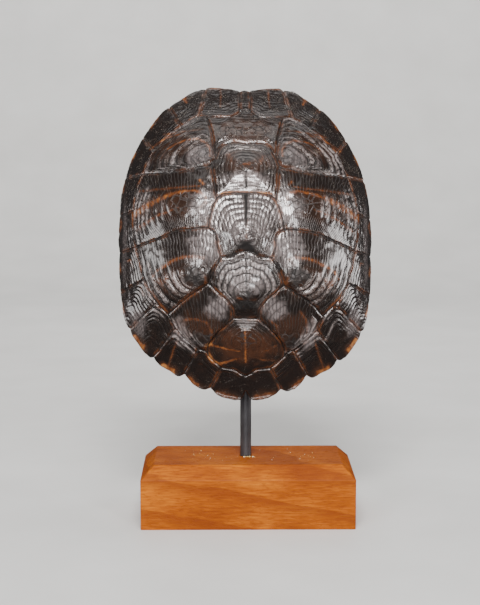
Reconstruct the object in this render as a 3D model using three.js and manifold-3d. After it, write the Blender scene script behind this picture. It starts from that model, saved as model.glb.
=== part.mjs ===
// The carapace of a slider turtle, standing head end up on a steel rod in a hardwood block.
// Millimetres, +Z up. The origin is the centre of the block's underside. The shell's outer face
// looks along -Y and leans back; its tail end is down, in front of the rod.
import * as THREE from 'three';
import { ConvexGeometry } from 'three/addons/geometries/ConvexGeometry.js';
import { mergeVertices } from 'three/addons/utils/BufferGeometryUtils.js';
import Module from 'manifold-3d';

// ---------------------------------------------------------------- driving dimensions

const BLOCK = { width: 115, depth: 59, height: 34, chamfer: 7, holeRadius: 3.3, holeDepth: 24 };
const ROD = { radius: 3, x: -1, sides: 32, topBevel: 0.6 };
const GAP = 0.3; // left between pieces that touch
const LEAN = THREE.MathUtils.degToRad(20); // of the shell's rim plane, back from upright
const TAIL_HEIGHT = 66; // of the shell's tail end above the table

// The shell's own frame: u to the right of the midline, v from the tail to the head, w outwards.
const DOME = { centre: 84, crown: 46, headLift: 6, tailLift: 4 }; // w of the crown and of the rim
const WALL = 4; // horn and bone together
const RIM_EDGE = 1.8; // thickness of the outer edge
const LIP = { side: 5, end: 9, drop: 2 }; // the rim's flat underside, and how far it stands down
const GROOVE = 1.1; // depth of the seams between scutes
const SKEW = 0.015; // the left side sits a little nearer the head than the right
const STEP = 5.6; // longest facet edge along a seam
const SPINE = { tail: 26, head: 148, halfWidth: 4.5, endLength: 6, height: 5, knob: 1.2, pitch: 13 };

// Steepness of the dome towards the side, head and tail: w falls as (1 - t^power)^flare
const FALL = {
  side: { power: 3.05, flare: 1 },
  head: { power: 2.5, flare: 1.15 },
  tail: { power: 2.2, flare: 1.3 },
};

// The mean rim on the right, head to tail: it sets the dome, without the rim's teeth
const GIRTH = [
  [0, 176], [22, 175.8], [42.5, 165.2], [58, 145.5], [66.7, 124.5], [69.7, 102], [69.9, 81],
  [68.6, 59], [63.8, 38.5], [52, 22], [35, 11.5], [19, 3.5], [0, 0],
];

// ---------------------------------------------------------------- seams of the right half

// The outer edge of the nuchal scute and of each marginal scute, head to tail. Behind the
// bridge each one ends in a tooth, a little in front of the next scute's start.
const RIM = [
  [[0, 175.5], [2.8, 174.8]],
  [[2.8, 174.8], [14, 176.2], [19.4, 176.7], [22, 175.5]],
  [[22, 175.5], [29, 174.1], [34.6, 170.1], [42.4, 164.6]],
  [[42.4, 164.6], [45.8, 162.3], [49.7, 157.7], [56.9, 147.1]],
  [[56.9, 147.1], [59.1, 142.5], [63.5, 133.7], [66.5, 124]],
  [[66.5, 124], [68.9, 112.6], [69.5, 102.1]],
  [[69.5, 102.1], [70.1, 90.9], [69.3, 80.9]],
  [[69.3, 80.9], [69.4, 70.7], [68.5, 59]],
  [[68.5, 59], [67, 47], [64.8, 39.8], [63.2, 38.1]],
  [[63.2, 38.1], [61.5, 34], [57.2, 27.4], [52.2, 22.4], [50.1, 22.6]],
  [[50.1, 22.6], [46.2, 17.3], [40.8, 14.5], [36.6, 12], [33.1, 13.4]],
  [[33.1, 13.4], [28.4, 7.6], [22.7, 4.6], [19.2, 5.6]],
  [[19.2, 5.6], [13, 1.1], [3.8, -0.7], [0, 4]],
];

// The inner edge of the same scutes, head to tail
const INNER = {
  nuchal: [[0, 157.7], [3, 156.9]],
  first: [[3, 156.9], [7.7, 152.9], [21, 153.1], [25.3, 153.8]],
  second: [[25.3, 153.8], [30, 151.8], [35.4, 148.2]],
  third: [[35.4, 148.2], [40.4, 144.8], [45.6, 139.3], [50.6, 135]],
  fourth: [[50.6, 135], [53.4, 129.1], [55.7, 121.3]],
  fifth: [[55.7, 121.3], [59, 113.3], [61.3, 101.8]],
  sixth: [[61.3, 101.8], [60.9, 90.8], [59.4, 79.8]],
  seventh: [[59.4, 79.8], [56.9, 70], [54.7, 61.2]],
  eighth: [[54.7, 61.2], [51.7, 54.1], [47.8, 48.2]],
  ninth: [[47.8, 48.2], [44, 44.5], [41.3, 41.7], [40, 39.2], [37.9, 34.8]],
  tenth: [[37.9, 34.8], [32.3, 29.7], [25.7, 24.6]],
  eleventh: [[25.7, 24.6], [22, 23.6], [20.3, 21.2], [13.4, 15.2]],
  twelfth: [[13.4, 15.2], [7, 14.4], [3, 12.4], [0, 11.2]],
};

// Seams between the vertebral scutes (v1 to v5) and the costal scutes (c1 to c4)
const SEAM = {
  v1c1: [[21, 153.1], [17.9, 140.1], [16, 125.5]],
  v1v2: [[16, 125.5], [12.9, 131.7], [7.5, 134.4], [0, 133.7]],
  v2c1: [[16, 125.5], [18, 119.4]],
  c1c2: [[18, 119.4], [26.7, 118], [40.9, 118.1], [55.7, 121.3]],
  v2c2: [[18, 119.4], [15.6, 100.3]],
  v2v3: [[15.6, 100.3], [12.2, 103.1], [0, 103.8]],
  v3c2: [[15.6, 100.3], [18.3, 93.4], [20.5, 84.2]],
  c2c3: [[20.5, 84.2], [27.7, 84.2], [35.7, 83.7], [46.1, 81.5], [59.4, 79.8]],
  v3c3: [[20.5, 84.2], [16.3, 81], [15.3, 74.9], [13.5, 68.6]],
  v3v4: [[13.5, 68.6], [8.1, 69], [3.9, 71.1], [0, 71.9]],
  v4c3: [[13.5, 68.6], [16.2, 64], [19.7, 55.3]],
  c3c4: [[19.7, 55.3], [25.3, 52.2], [33.6, 47.7], [41.3, 41.7]],
  v4c4: [[19.7, 55.3], [13.8, 50.2], [10.3, 47.3], [7.5, 43.3], [6.9, 38.5]],
  v4v5: [[6.9, 38.5], [0, 38.5]],
  v5c4: [[6.9, 38.5], [11.1, 35.2], [16.5, 30.7], [20.4, 25.5], [20.3, 21.2]],
};

// Growth rings of a scute as steps: [share of the way from the areola to the seam, height]
const RINGS = {
  costal: [[0.93, 0.5], [0.8, 0.9], [0.74, 0.5], [0.57, 1.1], [0.5, 0.7], [0.22, 2.1]],
  vertebral: [[0.92, 0.5], [0.76, 0.9], [0.7, 0.5], [0.5, 1.1], [0.24, 2]],
  marginal: [[0.84, 0.6], [0.5, 0.9]],
};
const PEAK = { costal: 2.6, vertebral: 3, marginal: 1.1 }; // height at the areola itself

// ---------------------------------------------------------------- the dome

const polar = ([u, v]) => [Math.atan2(v - DOME.centre, Math.abs(u)), Math.hypot(u, v - DOME.centre)];
const GIRTH_POLAR = GIRTH.map(polar).reverse(); // angle from -90 to +90 degrees, radius

function girthSlope(i) {
  // the rim crosses the midline squarely, so its radius is level there
  if (i === 0 || i === GIRTH_POLAR.length - 1) return 0;
  const [before, after] = [GIRTH_POLAR[i - 1], GIRTH_POLAR[i + 1]];
  return (after[1] - before[1]) / (after[0] - before[0]);
}

function girthRadius(angle) {
  let i = 0;
  while (i < GIRTH_POLAR.length - 2 && GIRTH_POLAR[i + 1][0] < angle) i++;
  const [a0, r0] = GIRTH_POLAR[i];
  const [a1, r1] = GIRTH_POLAR[i + 1];
  const h = a1 - a0;
  const s = THREE.MathUtils.clamp((angle - a0) / h, 0, 1);
  const ease = s * s * (3 - 2 * s);
  const bend = s * (1 - s) * h * ((1 - s) * girthSlope(i) - s * girthSlope(i + 1));
  return r0 + (r1 - r0) * ease + bend;
}

const mix = THREE.MathUtils.lerp;
const endShare = (u, v) => Math.sin(polar([u, v])[0]) ** 2; // 0 at the sides, 1 at head and tail
const rimHeight = (u, v) => (v > DOME.centre ? DOME.headLift : DOME.tailLift) * endShare(u, v);

function domeHeight(u, v) {
  const [angle, radius] = polar([u, v]);
  const t = Math.min(radius / girthRadius(angle), 1);
  const end = v > DOME.centre ? FALL.head : FALL.tail;
  const share = endShare(u, v);
  const power = mix(FALL.side.power, end.power, share);
  const flare = mix(FALL.side.flare, end.flare, share);
  const rim = rimHeight(u, v);
  return rim + (DOME.crown - rim) * (1 - t ** power) ** flare;
}

// A point of the dome, moved by `rise` along the dome's own normal
function onDome([u, v], rise) {
  const d = 0.5;
  const slopeU = (domeHeight(u + d, v) - domeHeight(u - d, v)) / (2 * d);
  const slopeV = (domeHeight(u, v + d) - domeHeight(u, v - d)) / (2 * d);
  const normal = new THREE.Vector3(-slopeU, -slopeV, 1).normalize();
  return new THREE.Vector3(u, v, domeHeight(u, v)).addScaledVector(normal, rise);
}

// ---------------------------------------------------------------- outlines

const mirror = ([u, v]) => [-u, v];
const same = (a, b) => Math.hypot(a[0] - b[0], a[1] - b[1]) < 1e-6;

// The line cut into steps; `rise` at each point is 0 on the rim and the groove's depth on a seam
function divide(line, onRim) {
  const points = [];
  for (let i = 0; i < line.length - 1; i++) {
    const [a, b] = [line[i], line[i + 1]];
    const count = Math.ceil(Math.hypot(b[0] - a[0], b[1] - a[1]) / STEP);
    for (let k = 0; k < count; k++) {
      const s = k / count;
      const corner = i === 0 && k === 0;
      points.push({ at: [mix(a[0], b[0], s), mix(a[1], b[1], s)], rise: onRim && !corner ? 0 : -GROOVE });
    }
  }
  points.push({ at: line[line.length - 1], rise: -GROOVE });
  return points;
}

const seam = (line) => divide(line, false);
const rimEdge = (line) => divide(line, true);

// Joins divided lines end to end, turning each one to meet the last
function chain(...lines) {
  const points = [...lines[0]];
  const second = lines[1];
  const end = points[points.length - 1].at;
  if (!same(end, second[0].at) && !same(end, second[second.length - 1].at)) points.reverse();
  for (const line of lines.slice(1)) {
    const next = same(points[points.length - 1].at, line[0].at) ? line : [...line].reverse();
    points.push(...next.slice(1));
  }
  return points;
}

const loop = (...lines) => chain(...lines).slice(1);

// A scute across the midline from its right-hand edge, which starts and ends on the midline
function acrossMidline(edge) {
  const left = edge.slice(1, -1).reverse().map(({ at, rise }) => ({ at: mirror(at), rise }));
  return [...edge, ...left];
}

// ---------------------------------------------------------------- scutes

// Every surface is a list of triangles of points, oriented outwards
const triangles = [];
const addTriangle = (a, b, c) => triangles.push(a, b, c);

function addStrip(outer, inner) {
  for (let i = 0; i < outer.length; i++) {
    const j = (i + 1) % outer.length;
    addTriangle(outer[i], outer[j], inner[j]);
    addTriangle(outer[i], inner[j], inner[i]);
  }
}

function signedArea(points) {
  let area = 0;
  points.forEach(({ at: [u, v] }, i) => {
    const [nextU, nextV] = points[(i + 1) % points.length].at;
    area += (u * nextV - nextU * v) / 2;
  });
  return area;
}

// One scute: its seam, its growth rings shrinking towards the areola, and the areola. `spread`
// widens the areola across the midline, as a share of the scute's own width.
function addScute(edge, areola, kind, spread = 0) {
  const points = signedArea(edge) > 0 ? edge : [...edge].reverse();
  let outer = points.map(({ at, rise }) => onDome(at, rise));
  for (const [share, height] of RINGS[kind]) {
    const ring = points.map(({ at }) => {
      const centreU = areola[0] + spread * (at[0] - areola[0]);
      return onDome([mix(centreU, at[0], share), mix(areola[1], at[1], share)], height);
    });
    addStrip(outer, ring);
    outer = ring;
  }
  const peak = onDome(areola, PEAK[kind]);
  outer.forEach((point, i) => addTriangle(point, outer[(i + 1) % outer.length], peak));
}

function addPair(edge, areola, kind) {
  addScute(edge, areola, kind);
  addScute(edge.map(({ at, rise }) => ({ at: mirror(at), rise })), mirror(areola), kind);
}

function addVertebrals() {
  const s = SEAM;
  const [nuchal, first] = [INNER.nuchal, INNER.first.slice(0, 3)];
  const [eleventh, twelfth] = [INNER.eleventh.slice(2), INNER.twelfth];
  const edges = [
    [[nuchal, first, s.v1c1, s.v1v2], 139.8, 0.6],
    [[s.v1v2, s.v2c1, s.v2c2, s.v2v3], 118.5, 0],
    [[s.v2v3, s.v3c2, s.v3c3, s.v3v4], 77.9, 0],
    [[s.v3v4, s.v4c3, s.v4c4, s.v4v5], 47.6, 0],
    [[s.v4v5, s.v5c4, eleventh, twelfth], 30.8, 0],
  ];
  for (const [lines, areola, spread] of edges) {
    addScute(acrossMidline(chain(...lines.map(seam))), [0, areola], 'vertebral', spread);
  }
}

function addCostals() {
  const s = SEAM;
  const i = INNER;
  const ninth = [i.ninth.slice(0, 3), i.ninth.slice(2)];
  const edges = [
    [[s.v1c1, i.first.slice(2), i.second, i.third, i.fourth, s.c1c2, s.v2c1], [26.6, 127]],
    [[s.c1c2, i.fifth, i.sixth, s.c2c3, s.v3c2, s.v2c2], [27, 98.1]],
    [[s.c2c3, i.seventh, i.eighth, ninth[0], s.c3c4, s.v4c3, s.v3c3], [27.6, 59.5]],
    [[s.c3c4, ninth[1], i.tenth, i.eleventh.slice(0, 3), s.v5c4, s.v4c4], [22.6, 32.4]],
  ];
  for (const [lines, areola] of edges) addPair(loop(...lines.map(seam)), areola, 'costal');
}

function addMarginals() {
  const inner = Object.values(INNER);
  const crossSeam = (k) => seam([RIM[k][RIM[k].length - 1], inner[k][inner[k].length - 1]]);
  const nuchal = chain(rimEdge(RIM[0]), crossSeam(0), seam(inner[0]));
  nuchal[0].rise = 0;
  addScute(acrossMidline(nuchal), [0, 164], 'marginal');
  for (let k = 1; k < RIM.length; k++) {
    const edge = loop(rimEdge(RIM[k]), crossSeam(k), seam(inner[k]), crossSeam(k - 1));
    const tooth = RIM[k][RIM[k].length - 1];
    const middle = edge.reduce((sum, { at }) => [sum[0] + at[0], sum[1] + at[1]], [0, 0]);
    const centre = middle.map((total, axis) => mix(total / edge.length, tooth[axis], 0.2));
    addPair(edge, centre, 'marginal');
  }
}

// ---------------------------------------------------------------- the hollow

// The rim from the head's midline down the right side and up the left, as in the scutes
function rimLoop() {
  const right = [rimEdge(RIM[0])[0]];
  for (const line of RIM) right.push(...rimEdge(line).slice(1));
  right[0].rise = 0;
  return acrossMidline(right);
}

// The hollow is ringed from the rim inwards to the sides of the backbone, a ridge on the midline
function addHollow() {
  const rim = rimLoop();
  const towards = rim.map(({ at: [u, v] }) => [
    THREE.MathUtils.clamp(u / 5, -SPINE.halfWidth, SPINE.halfWidth),
    mix(SPINE.tail, SPINE.head, v / GIRTH[0][1]),
  ]);
  const inset = (i, distance) => {
    const [u, v] = rim[i].at;
    const [spineU, spineV] = towards[i];
    const s = distance / Math.hypot(spineU - u, spineV - v);
    return [mix(u, spineU, s), mix(v, spineV, s)];
  };
  const lipWidth = (i) => mix(LIP.side, LIP.end, endShare(...rim[i].at));
  const ring = (place) => rim.map((_, i) => place(i));
  const below = (at, drop) => new THREE.Vector3(at[0], at[1], rimHeight(...at) - drop);

  const rings = [
    ring((i) => onDome(rim[i].at, rim[i].rise)),
    ring((i) => below(inset(i, 0.4), RIM_EDGE)),
    ring((i) => below(inset(i, lipWidth(i)), LIP.drop)),
  ];
  for (const share of [0, 0.15, 0.45, 0.75, 1]) {
    rings.push(ring((i) => {
      const from = inset(i, lipWidth(i) - 0.5);
      const at = from.map((value, axis) => mix(value, towards[i][axis], share));
      return onDome(at, -WALL);
    }));
  }
  rings.push(ring((i) => {
    const v = THREE.MathUtils.clamp(towards[i][1], SPINE.tail + SPINE.endLength, SPINE.head - SPINE.endLength);
    const knob = SPINE.knob * Math.cos((2 * Math.PI * v) / SPINE.pitch);
    return onDome([0, v], -WALL - SPINE.height - knob);
  }));
  for (let k = 0; k < rings.length - 1; k++) addStrip(rings[k], rings[k + 1]);
}

// ---------------------------------------------------------------- meshes

function closedGeometry(points) {
  const soup = new THREE.BufferGeometry().setFromPoints(points);
  const merged = mergeVertices(soup, 1e-3);
  const index = merged.getIndex().array;
  const kept = [];
  for (let k = 0; k < index.length; k += 3) {
    const [a, b, c] = index.slice(k, k + 3);
    if (a !== b && b !== c && c !== a) kept.push(a, b, c);
  }
  merged.setIndex(kept);
  merged.computeVertexNormals();
  return merged;
}

function carapaceGeometry() {
  addVertebrals();
  addCostals();
  addMarginals();
  addHollow();
  const geometry = closedGeometry(triangles);
  geometry.applyMatrix4(new THREE.Matrix4().makeShear(-SKEW, 0, 0, 0, 0, 0)); // v falls with u
  return geometry;
}

const wasm = await Module();
wasm.setup();

function solid(geometry) {
  const plain = geometry.clone();
  plain.deleteAttribute('normal');
  plain.deleteAttribute('uv');
  const merged = mergeVertices(plain, 1e-4);
  return new wasm.Manifold(new wasm.Mesh({
    numProp: 3,
    vertProperties: new Float32Array(merged.getAttribute('position').array),
    triVerts: new Uint32Array(merged.getIndex().array),
  }));
}

function geometryOf(manifold) {
  const { vertProperties, triVerts } = manifold.getMesh();
  const geometry = new THREE.BufferGeometry();
  geometry.setAttribute('position', new THREE.BufferAttribute(vertProperties, 3));
  geometry.setIndex(new THREE.BufferAttribute(triVerts, 1));
  geometry.computeVertexNormals();
  return geometry;
}

// A block with its four top edges chamfered, and a blind hole for the rod
function blockGeometry() {
  const { width, depth, height, chamfer, holeRadius, holeDepth } = BLOCK;
  const corners = [];
  for (const [z, inset] of [[0, 0], [height - chamfer, 0], [height, chamfer]]) {
    for (const sx of [-1, 1]) {
      for (const sy of [-1, 1]) {
        corners.push(new THREE.Vector3(sx * (width / 2 - inset), sy * (depth / 2 - inset), z));
      }
    }
  }
  const hole = new THREE.CylinderGeometry(holeRadius, holeRadius, 2 * holeDepth, ROD.sides);
  hole.rotateX(Math.PI / 2).translate(ROD.x, 0, height);
  return geometryOf(solid(new ConvexGeometry(corners)).subtract(solid(hole)));
}

function rodGeometry(length) {
  const { radius, topBevel, sides } = ROD;
  const profile = [
    [0, 0], [radius, 0], [radius, length - topBevel], [radius - topBevel, length], [0, length],
  ];
  const geometry = new THREE.LatheGeometry(profile.map(([r, z]) => new THREE.Vector2(r, z)), sides);
  return geometry.rotateX(Math.PI / 2);
}

// ---------------------------------------------------------------- assembly

const horn = new THREE.MeshStandardMaterial({ name: 'horn', color: 0x2c211b, roughness: 0.4, metalness: 0 });
const steel = new THREE.MeshStandardMaterial({ name: 'steel', color: 0x31353a, roughness: 0.45, metalness: 0.8 });
const wood = new THREE.MeshStandardMaterial({ name: 'wood', color: 0xb06c35, roughness: 0.6, metalness: 0 });

const carapace = new THREE.Mesh(carapaceGeometry(), horn);
carapace.name = 'carapace';
carapace.rotation.x = Math.PI / 2 - LEAN;
carapace.position.set(ROD.x, 0, TAIL_HEIGHT);
carapace.updateMatrix();

// The tail's lip rests against the front of the rod, and the rod ends under the backbone
const TAIL_REACH = 40; // how far up from the tail the lip can be
const placed = carapace.geometry.clone().applyMatrix4(carapace.matrix).getAttribute('position');
let lipBack = -Infinity;
for (let i = 0; i < placed.count; i++) {
  const besideRod = Math.abs(placed.getX(i) - ROD.x) < 2 * ROD.radius;
  if (besideRod && placed.getZ(i) < TAIL_HEIGHT + TAIL_REACH) lipBack = Math.max(lipBack, placed.getY(i));
}
carapace.position.y = -ROD.radius - GAP - lipBack;
carapace.updateMatrix();

function rodTop() {
  const nearest = SPINE.height + SPINE.knob + WALL + GAP;
  for (let v = SPINE.tail + SPINE.endLength; v < SPINE.head; v += 0.5) {
    const point = onDome([0, v], -nearest).applyMatrix4(carapace.matrix);
    if (point.y > -ROD.radius && v > DOME.centre) return point.z;
  }
  return TAIL_HEIGHT + SPINE.head;
}

const rodFoot = BLOCK.height - BLOCK.holeDepth + GAP;
const rod = new THREE.Mesh(rodGeometry(rodTop() - rodFoot), steel);
rod.name = 'rod';
rod.position.set(ROD.x, 0, rodFoot);

const base = new THREE.Mesh(blockGeometry(), wood);
base.name = 'base';

const shellOnStand = new THREE.Group();
shellOnStand.add(carapace, rod, base);

export default shellOnStand;
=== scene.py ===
"""A slider turtle's carapace on a steel rod in a hardwood block: horn, bone, steel and wood.

Shapes are worked out in millimetres and laid down in metres. The shell has a frame of its own:
u runs to the right of its midline, v from the tail to the head, and w outwards.
"""
import math

import bmesh
import bpy
import numpy as np
from mathutils import Matrix, Vector, kdtree
from mathutils.geometry import delaunay_2d_cdt


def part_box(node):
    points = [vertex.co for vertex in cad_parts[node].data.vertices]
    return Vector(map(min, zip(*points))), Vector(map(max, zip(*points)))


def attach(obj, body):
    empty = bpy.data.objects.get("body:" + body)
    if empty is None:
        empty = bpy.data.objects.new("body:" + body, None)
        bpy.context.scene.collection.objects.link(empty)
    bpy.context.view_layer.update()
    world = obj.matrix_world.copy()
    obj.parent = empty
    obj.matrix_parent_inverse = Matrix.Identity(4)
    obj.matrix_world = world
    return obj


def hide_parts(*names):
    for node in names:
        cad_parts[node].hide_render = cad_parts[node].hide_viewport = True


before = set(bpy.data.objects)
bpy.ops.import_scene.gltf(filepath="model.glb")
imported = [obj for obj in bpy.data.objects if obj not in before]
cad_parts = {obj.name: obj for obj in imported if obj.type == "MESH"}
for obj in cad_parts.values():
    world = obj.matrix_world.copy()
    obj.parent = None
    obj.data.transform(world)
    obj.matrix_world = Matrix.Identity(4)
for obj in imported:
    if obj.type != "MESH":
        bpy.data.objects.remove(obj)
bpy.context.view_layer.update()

MM = 0.001

# ---------------------------------------------------------------- the shell's dimensions, in mm

LEAN = math.radians(20)  # of the rim plane, back from upright
TAIL_HEIGHT = 66  # of the tail end above the table
TAIL_SETBACK = 5.87  # of the rim plane's tail end, in front of the rod's axis
ROD_X = -1

CENTRE = 84  # v of the crown
CROWN = 46  # w of the crown
HEAD_LIFT = 6  # w of the rim at the head
TAIL_LIFT = 4  # w of the rim at the tail
SIDE_FALL = (3.05, 1)  # w falls as (1 - t^power)^flare
HEAD_FALL = (2.5, 1.15)
TAIL_FALL = (2.2, 1.3)
SKEW = 0.015  # the left side sits a little nearer the head

WALL = 4  # horn and bone together
RIM_EDGE = 1.8  # thickness of the outer edge
LIP_DROP = 2
LIP_SIDE = 5
LIP_END = 9

SPINE_TAIL = 26
SPINE_HEAD = 148
SPINE_HALF_WIDTH = 4.5
SPINE_END = 6
SPINE_HEIGHT = 5
SPINE_KNOB = 1.2
SPINE_PITCH = 13
RIDGE_STEPS = (0.1, 0.3, 0.55, 0.8, 1)  # shares of the way up the backbone's ridge
EDGE_ROUNDING = ((0.03, 0.5), (0.2, 1.3), (0.6, RIM_EDGE))  # (distance inwards, drop) at the rim
LIP_HORN = ((0.25, 1), (0.5, 1), (0.75, 0.9), (0.93, 0.3))  # (share of the lip, horn there)
RIBS = [32, 44, 58, 73, 89, 105, 121, 136]  # v of each rib where it leaves the backbone
RIB_HEIGHT = 1.5
RIB_SPREAD = 0.15  # how much further apart the ribs are at the rim
RIB_HALF_WIDTH = 0.22  # as a share of the way to the next rib
RIBS_BEGIN = (4, 12)  # distances from the midline over which the ribs rise and fade
RIBS_FADE = (45, 75)

# ---------------------------------------------------------------- the right half's seams

# The mean rim, head to tail: it sets the dome, without the rim's teeth
GIRTH = [
    (0, 176), (22, 175.8), (42.5, 165.2), (58, 145.5), (66.7, 124.5), (69.7, 102), (69.9, 81),
    (68.6, 59), (63.8, 38.5), (52, 22), (35, 11.5), (19, 3.5), (0, 0),
]

# The outer edge of the nuchal scute and of each marginal scute, head to tail
RIM = [
    [(0, 175.5), (2.8, 174.8)],
    [(2.8, 174.8), (14, 176.2), (19.4, 176.7), (22, 175.5)],
    [(22, 175.5), (29, 174.1), (34.6, 170.1), (42.4, 164.6)],
    [(42.4, 164.6), (45.8, 162.3), (49.7, 157.7), (56.9, 147.1)],
    [(56.9, 147.1), (59.1, 142.5), (63.5, 133.7), (66.5, 124)],
    [(66.5, 124), (68.9, 112.6), (69.5, 102.1)],
    [(69.5, 102.1), (70.1, 90.9), (69.3, 80.9)],
    [(69.3, 80.9), (69.4, 70.7), (68.5, 59)],
    [(68.5, 59), (67, 47), (64.8, 39.8), (63.2, 38.1)],
    [(63.2, 38.1), (61.5, 34), (57.2, 27.4), (52.2, 22.4), (50.1, 22.6)],
    [(50.1, 22.6), (46.2, 17.3), (40.8, 14.5), (36.6, 12), (33.1, 13.4)],
    [(33.1, 13.4), (28.4, 7.6), (22.7, 4.6), (19.2, 5.6)],
    [(19.2, 5.6), (13, 1.1), (3.8, -0.7), (0, 4)],
]

# The inner edge of the same scutes, head to tail; three of them meet a costal seam on the way
INNER = [
    [[(0, 157.7), (3, 156.9)]],
    [[(3, 156.9), (7.7, 152.9), (21, 153.1)], [(21, 153.1), (25.3, 153.8)]],
    [[(25.3, 153.8), (30, 151.8), (35.4, 148.2)]],
    [[(35.4, 148.2), (40.4, 144.8), (45.6, 139.3), (50.6, 135)]],
    [[(50.6, 135), (53.4, 129.1), (55.7, 121.3)]],
    [[(55.7, 121.3), (59, 113.3), (61.3, 101.8)]],
    [[(61.3, 101.8), (60.9, 90.8), (59.4, 79.8)]],
    [[(59.4, 79.8), (56.9, 70), (54.7, 61.2)]],
    [[(54.7, 61.2), (51.7, 54.1), (47.8, 48.2)]],
    [[(47.8, 48.2), (44, 44.5), (41.3, 41.7)], [(41.3, 41.7), (40, 39.2), (37.9, 34.8)]],
    [[(37.9, 34.8), (32.3, 29.7), (25.7, 24.6)]],
    [[(25.7, 24.6), (22, 23.6), (20.3, 21.2)], [(20.3, 21.2), (13.4, 15.2)]],
    [[(13.4, 15.2), (7, 14.4), (3, 12.4), (0, 11.2)]],
]

# Seams between the vertebral scutes (v1 to v5) and the costal scutes (c1 to c4)
SEAM = {
    "v1c1": [(21, 153.1), (17.9, 140.1), (16, 125.5)],
    "v1v2": [(16, 125.5), (12.9, 131.7), (7.5, 134.4), (0, 133.7)],
    "v2c1": [(16, 125.5), (18, 119.4)],
    "c1c2": [(18, 119.4), (26.7, 118), (40.9, 118.1), (55.7, 121.3)],
    "v2c2": [(18, 119.4), (15.6, 100.3)],
    "v2v3": [(15.6, 100.3), (12.2, 103.1), (0, 103.8)],
    "v3c2": [(15.6, 100.3), (18.3, 93.4), (20.5, 84.2)],
    "c2c3": [(20.5, 84.2), (27.7, 84.2), (35.7, 83.7), (46.1, 81.5), (59.4, 79.8)],
    "v3c3": [(20.5, 84.2), (16.3, 81), (15.3, 74.9), (13.5, 68.6)],
    "v3v4": [(13.5, 68.6), (8.1, 69), (3.9, 71.1), (0, 71.9)],
    "v4c3": [(13.5, 68.6), (16.2, 64), (19.7, 55.3)],
    "c3c4": [(19.7, 55.3), (25.3, 52.2), (33.6, 47.7), (41.3, 41.7)],
    "v4c4": [(19.7, 55.3), (13.8, 50.2), (10.3, 47.3), (7.5, 43.3), (6.9, 38.5)],
    "v4v5": [(6.9, 38.5), (0, 38.5)],
    "v5c4": [(6.9, 38.5), (11.1, 35.2), (16.5, 30.7), (20.4, 25.5), (20.3, 21.2)],
}
for number, (rim_line, inner_lines) in enumerate(zip(RIM, INNER)):
    SEAM[f"rim{number}"] = rim_line
    SEAM[f"inner{number}"] = inner_lines[0]
    if len(inner_lines) > 1:
        SEAM[f"inner{number}b"] = inner_lines[1]
    if number < len(RIM) - 1:
        SEAM[f"cross{number}"] = [rim_line[-1], inner_lines[-1][-1]]

# ---------------------------------------------------------------- scutes

# How each kind of scute grew: height at its seam, how its height falls from the areola, how its
# growth rings crowd towards the seam, their height, and how flat their tops are (less is flatter)
KINDS = {
    "vertebral": {"base": 0.4, "steep": 1.7, "crowd": 1.15, "height": 0.34, "flat": 0.35},
    "costal": {"base": 0.4, "steep": 1.6, "crowd": 1.2, "height": 0.5, "flat": 0.8},
    "marginal": {"base": 0.25, "steep": 1.0, "crowd": 1.0, "height": 0.5, "flat": 0.8},
}

# Name: kind, areola, half-width of the areola across, lines of its outline (of the right half for
# one that crosses the midline), its areola's height, number of rings, how far behind the areola
# its wrinkles fan from, and the strength of its rings and of its wrinkles towards the head, the
# side, the tail and the midline; a strength below zero keeps the rings off the corners beside it
SCUTES = {
    "v1": ("vertebral", (0, 140.5), 8, "inner0 inner1 v1c1 v1v2", 1.0, 7, 60,
           (0.35, 0.35, 0.2, 0), (0.25, 0.1, 0.1, 0)),
    "v2": ("vertebral", (0, 118.5), 0, "v1v2 v2c1 v2c2 v2v3", 1.5, 8, 40,
           (1.0, 0.6, 0.15, 0), (0.2, 0.35, 0.3, 0)),
    "v3": ("vertebral", (0, 77.9), 0, "v2v3 v3c2 v3c3 v3v4", 2.0, 8, 30,
           (0.35, 0.3, 0.1, 0), (1.4, 1.3, 0.3, 0)),
    "v4": ("vertebral", (0, 47.6), 0, "v3v4 v4c3 v4c4 v4v5", 2.2, 6, 50,
           (1.1, 1.2, 0.2, 0), (1.1, 0.7, 0, 0)),
    "v5": ("vertebral", (0, 30.8), 0, "v4v5 v5c4 inner11b inner12", 2.0, 6, 60,
           (0.9, 0.7, 0.15, 0), (0.4, 0.2, 0, 0)),
    "c1": ("costal", (18.8, 120.5), 0, "v1c1 inner1b inner2 inner3 inner4 c1c2 v2c1", 2.0, 9, 60,
           (1.1, 1.6, -4, -1), (0.1, 0.15, 0.5, 0.1)),
    "c2": ("costal", (27, 98.1), 0, "c1c2 inner5 inner6 c2c3 v3c2 v2c2", 2.0, 10, 45,
           (-3, 1.7, -6, 1.0), (0.9, 0.6, 1.5, 0.6)),
    "c3": ("costal", (22.5, 57.5), 0, "c2c3 inner7 inner8 inner9 c3c4 v4c3 v3c3", 2.0, 7, 90,
           (-8, 1.7, 0.6, 0.1), (1.6, 0.5, 0, 0.6)),
    "c4": ("costal", (20.5, 27.5), 0, "c3c4 inner9b inner10 inner11 v5c4 v4c4", 2.0, 6, 60,
           (-0.9, 2.4, 1.9, 0.1), (1.3, 0, 0, 0.9)),
}


def seams_round_marginal(number):
    """Names of the lines round the nuchal scute, number 0, or a marginal one, in their order"""
    inner = [f"inner{number}b"] * (len(INNER[number]) - 1) + [f"inner{number}"]
    behind = [f"cross{number}"] * (number < len(RIM) - 1)
    ahead = [f"cross{number - 1}"] * (number > 0)
    return " ".join([f"rim{number}"] + behind + inner + ahead)


MARGINAL_LINES = [seams_round_marginal(number) for number in range(len(RIM))]
MARGINAL_RINGS = [0.3, 0.7, 0.45, 0.4, 0.4, 0.4, 0.6, 0.9, 1.2, 1.8, 1.2, 0.6, 0.4]  # strength
MARGINAL_PITCH = 2.4  # of the growth rings, which follow the inner and the front seam

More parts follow.
